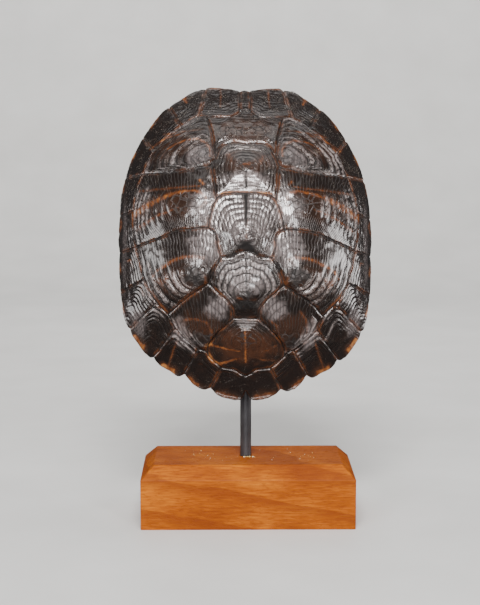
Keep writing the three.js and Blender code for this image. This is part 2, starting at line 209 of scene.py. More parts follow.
# The vertebral scutes' knobs: v of the top, height, and length ahead of it and behind it
KNOBS = [(111, 0.9, 9, 4), (79, 1.5, 14, 3.6), (50.5, 1.5, 12, 4)]
KNOB_HALF_WIDTH = 7.5

# The creases along the midline, painted dark as shade: v and half-width at the tail end and at the
# head end
CREASES = [((105.5, 1.0), (117, 0.4)), ((81, 0.35), (103.2, 1.6)), ((50, 0.35), (71.5, 0.5))]
CREASE_DEPTH = 0.4

# ---------------------------------------------------------------- fineness of the mesh, in mm

FILL_STEP = 0.69
SEAM_STEP = 0.6
SHOULDER = 0.5  # distance of the points on both sides of a seam
SHOULDER_CLEAR = 0.45
FILL_CLEAR = 0.85
RIM_CLEAR = 0.4
JITTER = 0.1
HOLLOW_COUNT = 400  # points round a ring of the hollow
HOLLOW_RINGS = 40
FINE_STEP = 0.15  # of the lines that distances are measured from
INSIDE_ONLY = 1  # the triangulation keeps what lies inside the rim
SAME_PLACE = 1e-6

GROOVE_DEPTH = 0.32  # of the seams between scutes
GROOVE_WIDTH = 0.65
WANDER = 0.35  # how far a seam strays from its smooth line
NOTCH_HEAD = 0.35  # depth of the rim's notches, at the head and at the tail
NOTCH_TAIL = 0.1
NOTCH_REACH = 1.2
NAPE_DIP = 1.2  # how far the rim is drawn in at the nape
NAPE_HALF_WIDTH = 7
NAPE_LENGTH = 14
RUGA_PITCH = 2.0  # of the lengthwise wrinkles
AREOLA_SHARE = 0.24  # of the way to the seam
FULL_REACH = 12  # where the seam is this far from the areola, the rings have their full strength
WAVE_DROP = 0.65  # taken off the rings' wave, so that their valleys lie below the scute's own form
RING_SPREAD = (0.5, 1.4)  # from the weakest growth ring to the strongest
MOST_RINGS = 40
CORNER_WINDOW = 24  # directions to each side that a blunted corner is spread over
BEAD_HEIGHT = 0.2  # of the swelling along a marginal scute's inner seam
BEAD_PLACE = 1.7
BEAD_WIDTH = 0.7
PLAIN_RISE = 0.4  # of a point on a seam itself, before the groove is cut
RIM_RISE = 0.3  # the most that the rim's own points stand out
SEAM_FAR = 6  # distances from a seam are kept up to here
DUSTY = (95, 140)  # v between which the dust sets in

# ---------------------------------------------------------------- the dome


def smooth(low, high, value):
    """0 below low, 1 above high, with a soft step between them"""
    s = np.clip((value - low) / (high - low), 0, 1)
    return s * s * (3 - 2 * s)


def mix(a, b, share):
    return a + (b - a) * share


def polar(plan):
    """Angle above the crown's level line, and distance from the crown"""
    along = plan[:, 1] - CENTRE
    return np.arctan2(along, np.abs(plan[:, 0])), np.hypot(plan[:, 0], along)


GIRTH_ANGLE, GIRTH_RADIUS = [part[::-1] for part in polar(np.array(GIRTH, float))]
GIRTH_SLOPE = np.zeros(len(GIRTH))
GIRTH_SLOPE[1:-1] = (GIRTH_RADIUS[2:] - GIRTH_RADIUS[:-2]) / (GIRTH_ANGLE[2:] - GIRTH_ANGLE[:-2])


def girth_radius(angle):
    i = np.clip(np.searchsorted(GIRTH_ANGLE, angle) - 1, 0, len(GIRTH) - 2)
    span = GIRTH_ANGLE[i + 1] - GIRTH_ANGLE[i]
    s = np.clip((angle - GIRTH_ANGLE[i]) / span, 0, 1)
    bend = s * (1 - s) * span * ((1 - s) * GIRTH_SLOPE[i] - s * GIRTH_SLOPE[i + 1])
    return mix(GIRTH_RADIUS[i], GIRTH_RADIUS[i + 1], s * s * (3 - 2 * s)) + bend


def end_share(plan):
    """0 at the sides, 1 at the head and the tail"""
    return np.sin(polar(plan)[0]) ** 2


def rim_height(plan):
    return np.where(plan[:, 1] > CENTRE, HEAD_LIFT, TAIL_LIFT) * end_share(plan)


def dome_height(plan):
    angle, radius = polar(plan)
    t = np.minimum(radius / girth_radius(angle), 1)
    ahead = plan[:, 1] > CENTRE
    share = end_share(plan)
    power = mix(SIDE_FALL[0], np.where(ahead, HEAD_FALL[0], TAIL_FALL[0]), share)
    flare = mix(SIDE_FALL[1], np.where(ahead, HEAD_FALL[1], TAIL_FALL[1]), share)
    rim = rim_height(plan)
    return rim + (CROWN - rim) * (1 - t**power) ** flare


def on_dome(plan, rise):
    """Points of the dome, each moved by its rise along the dome's own normal"""
    step = 0.5
    slope = []
    for offset in ((step, 0), (0, step)):
        ahead, behind = dome_height(plan + np.array(offset)), dome_height(plan - np.array(offset))
        slope.append((ahead - behind) / (2 * step))
    normal = np.stack([-slope[0], -slope[1], np.ones(len(plan))], 1)
    normal /= np.linalg.norm(normal, axis=1)[:, None]
    return np.column_stack([plan, dome_height(plan)]) + normal * np.reshape(rise, (-1, 1))


# ---------------------------------------------------------------- the dome laid out flat


class Unrolled:
    """Each point keeps its direction from the crown, at its distance along the surface"""

    def __init__(self, angles=91, shares=65):
        self.angle = np.linspace(-math.pi / 2, math.pi / 2, angles)
        self.share = np.linspace(0, 1, shares)
        reach = girth_radius(self.angle)[:, None] * self.share
        across, along = np.cos(self.angle)[:, None] * reach, np.sin(self.angle)[:, None] * reach
        plan = np.column_stack([across.ravel(), along.ravel() + CENTRE])
        height = dome_height(plan).reshape(reach.shape)
        steps = np.hypot(np.diff(reach, axis=1), np.diff(height, axis=1))
        self.arc = np.column_stack([np.zeros(angles), np.cumsum(steps, axis=1)])
        rows = [np.interp(self.share * arc[-1], arc, self.share) for arc in self.arc]
        self.back = np.array(rows)

    def look_up(self, table, angle, share):
        row = (angle - self.angle[0]) / (self.angle[1] - self.angle[0])
        column = share * (len(self.share) - 1)
        i = np.clip(row.astype(int), 0, len(self.angle) - 2)
        j = np.clip(column.astype(int), 0, len(self.share) - 2)
        s, t = row - i, column - j
        low = mix(table[i, j], table[i, j + 1], t)
        return mix(low, mix(table[i + 1, j], table[i + 1, j + 1], t), s)

    def flatten(self, plan):
        plan = np.array(plan, float)
        angle, radius = polar(plan)
        girth = girth_radius(angle)
        reach = self.look_up(self.arc, angle, np.minimum(radius / girth, 1))
        reach = reach + np.maximum(radius - girth, 0)
        side = np.where(plan[:, 0] < 0, -1, 1)
        return np.column_stack([side * np.cos(angle) * reach, np.sin(angle) * reach])

    def restore(self, flat):
        angle, reach = np.arctan2(flat[:, 1], np.abs(flat[:, 0])), np.hypot(flat[:, 0], flat[:, 1])
        whole = self.look_up(self.arc, angle, np.ones(len(flat)))
        share = self.look_up(self.back, angle, np.minimum(reach / whole, 1))
        radius = share * girth_radius(angle) + np.maximum(reach - whole, 0)
        side = np.where(flat[:, 0] < 0, -1, 1)
        return np.column_stack([side * np.cos(angle) * radius, np.sin(angle) * radius + CENTRE])


unrolled = Unrolled()


def mottle(flat, size, seed):
    """A smooth random field from -1 to 1, with patches of about that size"""
    table = np.random.default_rng(seed).uniform(-1, 1, (64, 64))
    cell = flat / size + 512
    corner = np.floor(cell).astype(int)
    s = cell - corner
    s = s * s * (3 - 2 * s)
    i, j = corner[:, 0] % 64, corner[:, 1] % 64
    near = mix(table[i, j], table[(i + 1) % 64, j], s[:, 0])
    far = mix(table[i, (j + 1) % 64], table[(i + 1) % 64, (j + 1) % 64], s[:, 0])
    return mix(near, far, s[:, 1])


def wandered(flat):
    """Nothing that grew is dead straight"""
    shift = [mottle(flat, 5, seed) + 0.5 * mottle(flat, 1.7, seed + 1) for seed in (11, 13)]
    return flat + WANDER * np.column_stack(shift)


# ---------------------------------------------------------------- lines


def curve(points, spacing):
    """A smooth curve through the points, cut into even steps"""
    points = np.array(points, float)
    chord = np.linalg.norm(np.diff(points, axis=0), axis=1)
    knot = np.concatenate([[0], np.cumsum(chord)])
    slope = np.empty_like(points)
    slope[0], slope[-1] = (points[1] - points[0]) / chord[0], (points[-1] - points[-2]) / chord[-1]
    slope[1:-1] = (points[2:] - points[:-2]) / (knot[2:] - knot[:-2])[:, None]
    at = np.linspace(0, knot[-1], math.ceil(knot[-1] / spacing) + 1)
    i = np.clip(np.searchsorted(knot, at, side="right") - 1, 0, len(points) - 2)
    span = (knot[i + 1] - knot[i])[:, None]
    s = (at - knot[i])[:, None] / span
    ease = s * s * (3 - 2 * s)
    bend = s * (1 - s) * span * ((1 - s) * slope[i] - s * slope[i + 1])
    return mix(points[i], points[i + 1], ease) + bend


def evenly(line, spacing):
    """The line cut again into even steps of its own length"""
    length = np.concatenate([[0], np.cumsum(np.linalg.norm(np.diff(line, axis=0), axis=1))])
    at = np.linspace(0, length[-1], max(1, round(length[-1] / spacing)) + 1)
    return np.column_stack([np.interp(at, length, line[:, axis]) for axis in (0, 1)])


def traced(points, side, spacing):
    """A seam on one side of the shell, laid out flat"""
    clean = curve(points, 0.1) * np.array([side, 1])
    return evenly(wandered(unrolled.flatten(clean)), spacing)


LINES = {
    (name, side): traced(points, side, SEAM_STEP)
    for name, points in SEAM.items() for side in (1, -1)
}


def joined(parts):
    """Lines joined end to end, each turned to meet the last"""
    parts = list(parts)
    first = parts[0]
    if len(parts) > 1:
        ends = np.array([parts[1][0], parts[1][-1]])
        if np.linalg.norm(ends - first[-1], axis=1).min() > 1e-3:
            first = first[::-1]
    whole = [first]
    for part in parts[1:]:
        if np.linalg.norm(part[0] - whole[-1][-1]) > 1e-3:
            part = part[::-1]
        whole.append(part[1:])
    return np.concatenate(whole)


def outline(names, side):
    """A scute's outline on one side, or across the midline where side is 0"""
    if side:
        return joined(LINES[name, side] for name in names.split())
    right, left = [joined(LINES[name, one] for name in names.split()) for one in (1, -1)]
    return np.concatenate([right, left[::-1][1:-1]])


def inside(polygon, points):
    """Which points lie inside the polygon"""
    found = np.zeros(len(points), bool)
    low, high = polygon.min(0), polygon.max(0)
    near = np.where(np.all((points >= low) & (points <= high), axis=1))[0]
    x, y = points[near, 0], points[near, 1]
    odd = np.zeros(len(near), bool)
    for (x0, y0), (x1, y1) in zip(polygon, np.roll(polygon, -1, axis=0)):
        if y0 != y1:
            crosses = (y0 > y) != (y1 > y)
            odd ^= crosses & (x < x0 + (y - y0) * (x1 - x0) / (y1 - y0))
    found[near] = odd
    return found


def tree_of(points):
    tree = kdtree.KDTree(len(points))
    for i, (x, y) in enumerate(points):
        tree.insert((x, y, 0), i)
    tree.balance()
    return tree


def distances(tree, points):
    return np.array([tree.find((x, y, 0))[2] for x, y in points])


rim_right = joined(LINES[f"rim{k}", 1] for k in range(len(RIM)))
rim_left = joined(LINES[f"rim{k}", -1] for k in range(len(RIM)))
RIM_LOOP = np.concatenate([rim_right, rim_left[::-1][1:-1]])
SEAM_LINES = [line for (name, side), line in LINES.items() if not name.startswith("rim")]
SEAM_TREE = tree_of(np.concatenate([evenly(line, FINE_STEP) for line in SEAM_LINES]))

# ---------------------------------------------------------------- the outer surface's mesh


class Net:
    """Points and the edges between them, each place kept once"""

    def __init__(self):
        self.places = {}
        self.points = []
        self.edges = set()

    def index(self, point):
        key = tuple(np.round(point, 3))
        if key not in self.places:
            self.places[key] = len(self.points)
            self.points.append(point)
        return self.places[key]

    def add(self, line):
        ids = [self.index(point) for point in line]
        self.edges.update((a, b) for a, b in zip(ids, ids[1:]) if a != b)
        return ids


def beside(line, distance):
    """The line's points moved sideways"""
    along = np.gradient(line, axis=0)
    across = np.column_stack([-along[:, 1], along[:, 0]])
    return line + across / np.linalg.norm(across, axis=1)[:, None] * distance


def clear_points(points, rim_tree, from_seams):
    """The points inside the rim that keep their distance from it and from the seams"""
    points = points[inside(RIM_LOOP, points)]
    far = distances(SEAM_TREE, points) > from_seams
    return points[far & (distances(rim_tree, points) > RIM_CLEAR)]


def fill_points(rim_tree):
    """An even scatter of points between the seams"""
    low, high = RIM_LOOP.min(0), RIM_LOOP.max(0)
    rows = np.arange(low[1], high[1], FILL_STEP * math.sqrt(3) / 2)
    columns = np.arange(low[0], high[0], FILL_STEP)
    grid = [(x + FILL_STEP / 2 * (j % 2), y) for j, y in enumerate(rows) for x in columns]
    grid = np.array(grid)
    grid += np.random.default_rng(3).uniform(-JITTER, JITTER, grid.shape)
    return clear_points(grid, rim_tree, FILL_CLEAR)


def shoulder_points(rim_tree):
    """Points along both sides of the seams, where the grooves begin"""
    lines = [beside(line, way * SHOULDER) for line in SEAM_LINES for way in (-1, 1)]
    return clear_points(np.concatenate(lines), rim_tree, SHOULDER_CLEAR)


def outer_net():
    """Flat points, triangles, and the ids of the rim's points in order"""
    net = Net()
    rim_ids = net.add(RIM_LOOP)
    net.edges.add((rim_ids[-1], rim_ids[0]))
    for line in SEAM_LINES:
        net.add(line)
    rim_tree = tree_of(evenly(np.concatenate([RIM_LOOP, RIM_LOOP[:1]]), FINE_STEP))
    points = np.concatenate([net.points, shoulder_points(rim_tree), fill_points(rim_tree)])
    corners, edges = [Vector(p) for p in points], sorted(net.edges)
    found = delaunay_2d_cdt(corners, edges, [rim_ids], INSIDE_ONLY, SAME_PLACE, True)
    flat = np.array([tuple(p) for p in found[0]])
    faces = np.array(found[2])
    faces = faces[inside(RIM_LOOP, flat[faces].mean(1))]
    new_id = {old: new for new, olds in enumerate(found[3]) for old in olds}
    return flat, faces, [new_id[i] for i in rim_ids]


# ---------------------------------------------------------------- the outer surface's relief


def reach_about(centre, polygon, flat):
    """Each point's distance from the centre as a share of the way to the polygon"""
    bins = 720
    fine = evenly(np.concatenate([polygon, polygon[:1]]), 0.05) - centre
    place = (np.arctan2(fine[:, 1], fine[:, 0]) / (2 * math.pi) * bins).astype(int) % bins
    table = np.zeros(bins)
    np.maximum.at(table, place, np.hypot(fine[:, 0], fine[:, 1]))
    known = np.where(table > 0)[0]
    table = np.interp(np.arange(bins), known, table[known], period=bins)
    blunt = table.copy()
    window = range(-CORNER_WINDOW, CORNER_WINDOW + 1)
    for _ in range(4):  # corners fade towards the areola
        blunt = sum(np.roll(blunt, k) for k in window) / len(window)
    offset = flat - centre
    angle = np.arctan2(offset[:, 1], offset[:, 0]) / (2 * math.pi) * bins
    sharp, round_edge = [
        np.interp(angle % bins, np.arange(bins + 1), np.append(t, t[0])) for t in (table, blunt)
    ]
    away = np.hypot(offset[:, 0], offset[:, 1])
    edge = mix(round_edge, sharp, np.minimum(away / sharp, 1) ** 0.8)
    return away / edge, edge


def ring_form(phase, flat):
    """Ridges with narrower valleys between them; a low power makes their tops flat"""
    return np.abs(np.sin(math.pi * phase)) ** flat - WAVE_DROP


def sided(strengths, offset, side):
    """A blend of the strengths towards the head, the side, the tail and the midline"""
    ahead, out = (offset / (np.linalg.norm(offset, axis=1)[:, None] + 1e-9)).T[::-1]
    out = np.abs(out) if side == 0 else out * side
    shares = [np.maximum(ahead, 0), np.maximum(out, 0), np.maximum(-ahead, 0), np.maximum(-out, 0)]
    return sum(strength * share**2 for strength, share in zip(strengths, shares))


def grow(fields, own, spot, number, kind, lift, share, phase, weight):
    """Body and growth rings of one scute's own points, and the fields of its rings"""
    grown = KINDS[kind]
    strong = np.random.default_rng(100 + number).uniform(*RING_SPREAD, MOST_RINGS)
    weight = weight * strong[phase.astype(int)] * (1 + 0.45 * mottle(spot, 9, 61 + number))
    weight = np.clip(weight, 0, 2)
    fields["rings"][own] = phase
    fields["ring_weight"][own] = weight
    body = grown["base"] + lift * (1 - np.minimum(share, 1) ** 1.5) ** grown["steep"]
    return body + grown["height"] * weight * ring_form(phase, grown["flat"])


def grown_about_areola(fields, flat, number, name, side):
    """The relief of a vertebral or costal scute"""
    kind, areola, wide, names, lift, count, fan, ring_sides, ruga_sides = SCUTES[name]
    edge = outline(names, side)
    areola = unrolled.flatten([(areola[0] * (side or 1), areola[1])])[0]
    own = np.where(inside(edge, flat))[0]
    spot = flat[own]
    drawn = spot.copy()
    drawn[:, 0] -= np.clip(spot[:, 0] - areola[0], -wide, wide)
    share, reach = reach_about(areola, edge, drawn if wide else spot)
    share = np.clip(share + 0.015 * mottle(spot, 4, 21 + number), 0, 1.02)
    beyond = smooth(AREOLA_SHARE, AREOLA_SHARE + 0.08, share)
    weight = sided(ring_sides, spot - areola, side) * beyond * np.clip(reach / FULL_REACH, 0.3, 1)
    phase = count * share ** KINDS[kind]["crowd"]
    rise = grow(fields, own, spot, number, kind, lift, share, phase, weight)
    rise += (0.14 * mottle(spot, 0.9, 5) + 0.1 * mottle(spot, 2.2, 6)) * (1 - beyond)
    front = edge[:, 1].max() - areola[1]
    offset = spot - areola + (0, fan)
    rugae = np.arctan2(offset[:, 0], offset[:, 1]) * (fan + 0.7 * front) / RUGA_PITCH
    fields["rugae"][own] = rugae + 0.3 * mottle(spot, 3, 31)
    weight = sided(ruga_sides, spot - areola, side) * smooth(0.2, 0.5, share)
    fields["ruga_weight"][own] = weight * (0.65 + 0.35 * mottle(spot, 4, 33))
    fields["areola"][own] = 1 - beyond
    return own, rise


def grown_from_seams(fields, flat, number, side):
    """The relief of a marginal or the nuchal scute, whose rings follow its inner and front seams"""
    names = MARGINAL_LINES[number].split()
    edge = outline(MARGINAL_LINES[number], side)
    own = np.where(inside(edge, flat))[0]
    spot = flat[own]
    sides = (side or 1, side or -1)
    inner = [LINES[name, one] for name in names if name.startswith("inner") for one in sides]
    from_inner = distances(tree_of(np.concatenate([evenly(line, 0.3) for line in inner])), spot)
    away = from_inner
    if number > 1:
        front = LINES[f"cross{number - 1}", side]
        from_front = 1.3 * distances(tree_of(evenly(front, 0.3)), spot) + 1.5
        away = -np.log(np.exp(-from_inner / 1.5) + np.exp(-from_front / 1.5)) * 1.5
    phase = np.maximum(away + 0.35 * mottle(spot, 5, 45), 0) / MARGINAL_PITCH
    weight = MARGINAL_RINGS[number] * (0.15 + 0.85 * np.exp(-((from_inner / 9) ** 2)))
    rise = grow(fields, own, spot, 40 + number, "marginal", 0, np.ones(len(spot)), phase, weight)
    fields["rugae"][own] = spot[:, 0] / RUGA_PITCH
    bead = BEAD_HEIGHT * (1 + 0.9 * mottle(spot, 6, 46))
    return own, rise + bead * np.exp(-(((from_inner - BEAD_PLACE) / BEAD_WIDTH) ** 2))


def keel(flat):
    """The knobs along the midline, and the creases between their halves"""
    away, v = np.abs(flat[:, 0]), CENTRE + flat[:, 1]
    total = np.zeros(len(flat))
    for top, height, ahead, behind in KNOBS:
        flat_top = unrolled.flatten([(0, top)])[0][1] + CENTRE
        length = np.where(v > flat_top, ahead, behind)
        total += height * np.exp(-(((v - flat_top) / length) ** 2) - (away / KNOB_HALF_WIDTH) ** 2)
    return total - CREASE_DEPTH * crease(flat)


def crease(flat):
    """1 in the creases along the midline, which widen towards one end, and 0 beside them"""
    total = np.zeros(len(flat))
    v = flat[:, 1]
    bend = flat[:, 0] + 0.3 * mottle(flat, 4, 47)
    for (tail, tail_width), (head, head_width) in CREASES:
        low, high = unrolled.flatten([(0, tail), (0, head)])[:, 1]
        width = np.interp(v, [low, high], [tail_width, head_width])
        ends = smooth(low - 0.5, low + 1.5, v) * (1 - smooth(high - 1, high + 0.5, v))
        total += ends * np.exp(-((bend / width) ** 4))
    return total


def outer_relief(flat):
    """Rise of each point above the dome, and the fields that the horn's finish follows"""
    gap = distances(SEAM_TREE, flat)
    names = ("rings", "ring_weight", "rugae", "ruga_weight", "areola")
    fields = {name: np.zeros(len(flat)) for name in names}
    rise = np.full(len(flat), PLAIN_RISE)
    number = 0
    for name, (kind, *_) in SCUTES.items():
        for side in (0,) if kind == "vertebral" else (1, -1):
            own, rise_there = grown_about_areola(fields, flat, number, name, side)
            rise[own] = rise_there
            number += 1
    for number in range(len(MARGINAL_LINES)):
        for side in (0,) if number == 0 else (1, -1):
            own, rise_there = grown_from_seams(fields, flat, number, side)
            rise[own] = rise_there
    rise += keel(flat)
    rise = mix(-GROOVE_DEPTH, rise, smooth(0, GROOVE_WIDTH, gap))
    rise += 0.12 * mottle(flat, 2.5, 41) + 0.2 * mottle(flat, 8, 42)
    # the creases count as seams here, so the horn's colour paints shade into them as well
    fields["seam"] = np.minimum(gap, SEAM_FAR) * (1 - crease(flat))
    return rise, fields


def notched(flat):
    """The points moved inwards where a seam meets the rim"""
    moved = flat.copy()
    for (name, side), line in LINES.items():
        if name.startswith("cross"):
            corner = line[0]
            depth = NOTCH_HEAD if corner[1] > 0 else NOTCH_TAIL
            away = np.linalg.norm(flat - corner, axis=1)
            inwards = -corner / np.linalg.norm(corner)
            moved += inwards * (depth * np.exp(-((away / NOTCH_REACH) ** 2)))[:, None]
    nape = unrolled.flatten([(0, 175)])[0][1]
    dip = NAPE_DIP * np.exp(-((flat[:, 0] / NAPE_HALF_WIDTH) ** 2))
    moved[:, 1] -= dip * smooth(nape - NAPE_LENGTH, nape, flat[:, 1])
    return moved


# ---------------------------------------------------------------- markings

# Orange lines and bands in the horn: strength, and a route of (u, v, half-width)
BOTH_SIDES = [
    (0.8, [(19, 124.5, 0.5), (19, 129.7, 0.6), (21, 133.1, 0.7), (25.3, 136.4, 0.8),
           (32, 136.8, 0.7), (37, 135.5, 0.6), (42, 133.3, 0.5)]),
    (0.45, [(45, 144.3, 0.6), (38.5, 143.7, 0.7), (30, 143.3, 0.6), (23, 143.1, 0.4)]),
    (0.5, [(52.5, 137, 0.6), (47, 140, 0.8), (41, 141.6, 0.8), (35, 142, 0.5)]),
    (0.85, [(59.5, 99, 3.0), (54, 100.4, 2.8), (48, 102, 2.0), (41, 103.5, 1.3), (33, 104.4, 0.9),
           (27, 105, 0.8), (23.5, 103.8, 0.8), (21, 100.8, 0.8), (21, 97.6, 0.8), (24, 95, 0.6)]),
    (0.65, [(58, 89.7, 1.3), (51.5, 91.8, 1.1), (46, 93.3, 0.8), (40.4, 94.5, 0.6), (35, 96, 0.4)]),
    (0.5, [(57.5, 111, 0.7), (49, 109, 0.7), (41, 107.7, 0.6), (32, 107.1, 0.6),
           (24.4, 107.6, 0.5)]),
    (0.85, [(22.5, 108.6, 0.7), (24, 110.8, 0.8)]),
    (0.8, [(22.3, 68.3, 0.7), (27.5, 69.4, 0.9), (32.4, 69.3, 0.9), (37, 68.2, 1.0),
           (42.4, 66, 1.0), (46.6, 64.1, 0.9), (49, 61.6, 0.8)]),
    (0.6, [(21.7, 60.2, 1.0), (21.2, 56, 0.9)]),
    (0.5, [(47, 60, 1.6), (44, 57.2, 2.0), (41.4, 59.8, 1.4)]),
    (0.6, [(51.4, 55.3, 0.9), (47.5, 49.7, 1.0), (43.2, 44.7, 1.0), (41.6, 42.6, 0.8)]),
    (0.5, [(9.2, 125.4, 1.3), (7.4, 120.4, 1.0)]),
    (0.45, [(15, 99.8, 0.6), (17.6, 93.1, 0.7), (18.2, 87.6, 0.6)]),
    (0.45, [(17, 82.1, 0.5), (15, 77.8, 0.6), (14.4, 72.5, 0.6), (13, 66.3, 0.5)]),
    (0.4, [(16.5, 53.4, 0.5), (10.7, 48.5, 0.6), (7.1, 43.7, 0.5)]),
    (0.6, [(64.2, 74.2, 0.6), (62.4, 73.9, 0.7), (61, 69.5, 0.6)]),
    (0.9, [(34.3, 170.4, 1.6), (32.5, 165.5, 0.5)]),
    (1.0, [(49.5, 157.8, 1.5), (52.5, 153.5, 1.6)]),
    (1.0, [(61.5, 137.8, 1.3), (63.3, 133.8, 1.4)]),
    (0.8, [(67, 121.5, 0.8), (67.8, 115.6, 0.9)]),
    (0.6, [(69.5, 100.5, 1.2), (68.2, 97, 0.9), (69.6, 93.5, 1.2)]),
    (0.9, [(69.2, 74.3, 0.9), (68.6, 70.2, 1.4)]),
    (0.9, [(68, 52, 1.2), (66.6, 47.6, 1.7)]),
    (1.0, [(60.5, 33.6, 1.6), (56.4, 28, 2.2)]),
    (1.0, [(44.8, 17.6, 1.5), (39.6, 14.6, 2.2)]),
    (0.7, [(31, 11.2, 1.4), (26.2, 6.9, 2.0)]),
    (0.55, [(15.5, 3.4, 1.3), (9.6, 1.3, 2.2), (5, 0.6, 1.5)]),
    (0.55, [(42.4, 16.8, 0.7), (39, 24.5, 0.7), (36.4, 30.2, 0.5)]),
    (0.8, [(8, 175.6, 0.5), (13, 175.9, 0.9), (20, 175.9, 0.6)]),
    (0.55, [(13.3, 174.5, 0.4), (13.4, 166.4, 0.4), (13.8, 160, 0.3)]),
]
LEFT_ONLY = [
    (0.6, [(32.5, 38.6, 0.8), (28.8, 38.9, 0.9), (24.5, 38.8, 0.9), (20.3, 37.3, 0.9),
           (18.5, 33.4, 0.8), (18.2, 29.6, 0.6)]),
    (0.85, [(21.6, 26.6, 1.2), (19.3, 26.6, 1.0), (14, 25.4, 0.6), (8.6, 24.4, 0.6),
            (3.3, 23.2, 0.4)]),
    (0.85, [(20.5, 22.4, 1.4), (17.7, 18.5, 1.3), (14, 17.2, 0.9), (8.6, 18.5, 0.6),
            (3.3, 19.9, 0.4)]),
    (0.5, [(56.5, 57.5, 0.8), (55.2, 53.5, 0.9)]),
]
RIGHT_ONLY = [
    (0.5, [(12.5, 38.3, 0.6), (16.2, 36.1, 0.8), (17.4, 32.9, 0.8), (16.3, 30, 0.7)]),
    (0.5, [(28.4, 43, 0.7), (31.7, 39.4, 0.8), (32.4, 34.8, 0.6)]),
    (0.5, [(16, 26.6, 0.7), (11, 24.2, 0.5), (5, 23.4, 0.4)]),
    (0.45, [(15, 19.2, 0.8), (9, 19.4, 0.5), (4, 20.4, 0.4)]),
]
ON_MIDLINE = [
    (0.9, [(-0.5, 34, 0.4), (-0.2, 28, 0.5), (-0.6, 18, 0.5)]),
    (0.75, [(-13.4, 103.5, 0.6), (-6, 104.3, 0.6), (1, 104.4, 0.6), (7.3, 104, 0.6),
            (13.5, 103.4, 0.6)]),
    (0.7, [(0.4, 88, 0.4), (0.3, 78, 0.5)]),
    (0.6, [(-1.8, 119.7, 0.7), (2.2, 119.7, 0.8)]),
    (0.55, [(-4.4, 49, 0.7), (-0.2, 47.9, 0.8), (5, 48, 0.7)]),
]
ROUTES = [(strength, route, (1, -1)) for strength, route in BOTH_SIDES]
ROUTES += [(strength, route, (-1,)) for strength, route in LEFT_ONLY]
ROUTES += [(strength, route, (1,)) for strength, route in RIGHT_ONLY + ON_MIDLINE]

# Soft patches of the horn: (u, v), half-axes, strength; the first list is brown and seen through,
# the second black pigment with painted shadow, the third bleached horn with painted highlight
BROWN = [((0, 26), (20, 11), 0.24), ((0, 143), (19, 12), 0.15), ((24, 36), (15, 9), 0.17),
         ((34, 58), (16, 10), 0.14), ((0, 122), (15, 9), 0.16), ((40, 98), (20, 10), 0.12),
         ((38, 134), (16, 10), 0.12)]
# black pigment on the keel knobs, with painted shadow under the knobs and the costal bumps
BLACK_AND_SHADOW = [((0.2, 74.4), (4.6, 2.6), 1.0), ((-0.5, 45.4), (6.2, 3.4), 1.0), ((0.5, 125), (7, 4), 1.0),
         ((27, 60), (7, 5), 0.8), ((26, 97), (6, 4), 0.35), ((24, 29), (6, 6), 0.5)]
# partly bleached horn and partly painted highlight, as on the areolae, the crown and the marginals'
# tips
PALE = [((0, 90), (18, 15), 0.5), ((0, 60), (15, 10), 0.7), ((0, 111.5), (11, 4.5), 0.9),
        ((25, 125.5), (8, 7), 0.55), ((21, 96), (9, 10), 0.75), ((22, 74), (10, 10), 0.6),
        ((15, 44), (7, 6), 0.7), ((0, 37), (6, 3), 0.3), ((34, 33), (5, 9), 0.6),
        ((58, 41), (7, 9), 0.45), ((66, 85), (3, 32), 0.3)]


def route_mask(flat, route, side):
    """1 on the route and 0 beyond its width, with a ragged edge"""
    route = np.array(route, float)
    line = wandered(unrolled.flatten(route[:, :2] * (side, 1)))
    margin = 3 * route[:, 2].max()
    within = (flat > line.min(0) - margin) & (flat < line.max(0) + margin)
    near = np.where(np.all(within, axis=1))[0]
    spot = flat[near]
    best = np.full(len(spot), 9.0)
    margin_noise = 0.3 * mottle(spot, 1.1, 71) + 0.25 * mottle(spot, 3.1, 72)
    for a, b, wide_a, wide_b in zip(line, line[1:], route[:, 2], route[1:, 2]):
        s = np.clip((spot - a) @ (b - a) / ((b - a) @ (b - a)), 0, 1)
        away = np.linalg.norm(spot - a - s[:, None] * (b - a), axis=1)
        best = np.minimum(best, away / mix(wide_a, wide_b, s))
    mask = np.zeros(len(flat))
    best += margin_noise
    core, halo = 1 - smooth(0.45, 1.35, best), 1 - smooth(0.6, 3, best)
    mask[near] = np.maximum(core * (0.75 + 0.25 * mottle(spot, 2.3, 73)), 0.2 * halo)
    return mask


def patch_mask(flat, patches, seed):
    total = np.zeros(len(flat))
    for (u, v), (across, along), strength in patches:
        for side in (1,) if abs(u) < 3 else (1, -1):
            offset = (flat - unrolled.flatten([(u * side, v)])[0]) / (across, along)
            away = np.hypot(offset[:, 0], offset[:, 1]) + 0.25 * mottle(flat, 3, seed)
            total = np.maximum(total, strength * (1 - smooth(0.5, 1.25, away)))
    return total


def markings(flat):
    orange = patch_mask(flat, BROWN, 81)
    for strength, route, sides in ROUTES:
        for side in sides:
            orange = np.maximum(orange, strength * route_mask(flat, route, side))
    # black pigment in the patches, and painted shade in the creases along the midline
    black = np.maximum(patch_mask(flat, BLACK_AND_SHADOW, 82), crease(flat))
    dusty = smooth(*DUSTY, flat[:, 1] + CENTRE)
    return {"orange": orange, "black": black, "pale": patch_mask(flat, PALE, 83), "dusty": dusty}


# ---------------------------------------------------------------- the hollow


def clean_rim():
    """The rim without wandering, from the head down the right side and up the left"""
    right = curve(RIM[0], 0.5)
    for line in RIM[1:]:
        right = np.concatenate([right, curve(line, 0.5)[1:]])
    return np.concatenate([right, (right[::-1] * (-1, 1))[1:]])


CLEAN_RIM = clean_rim()


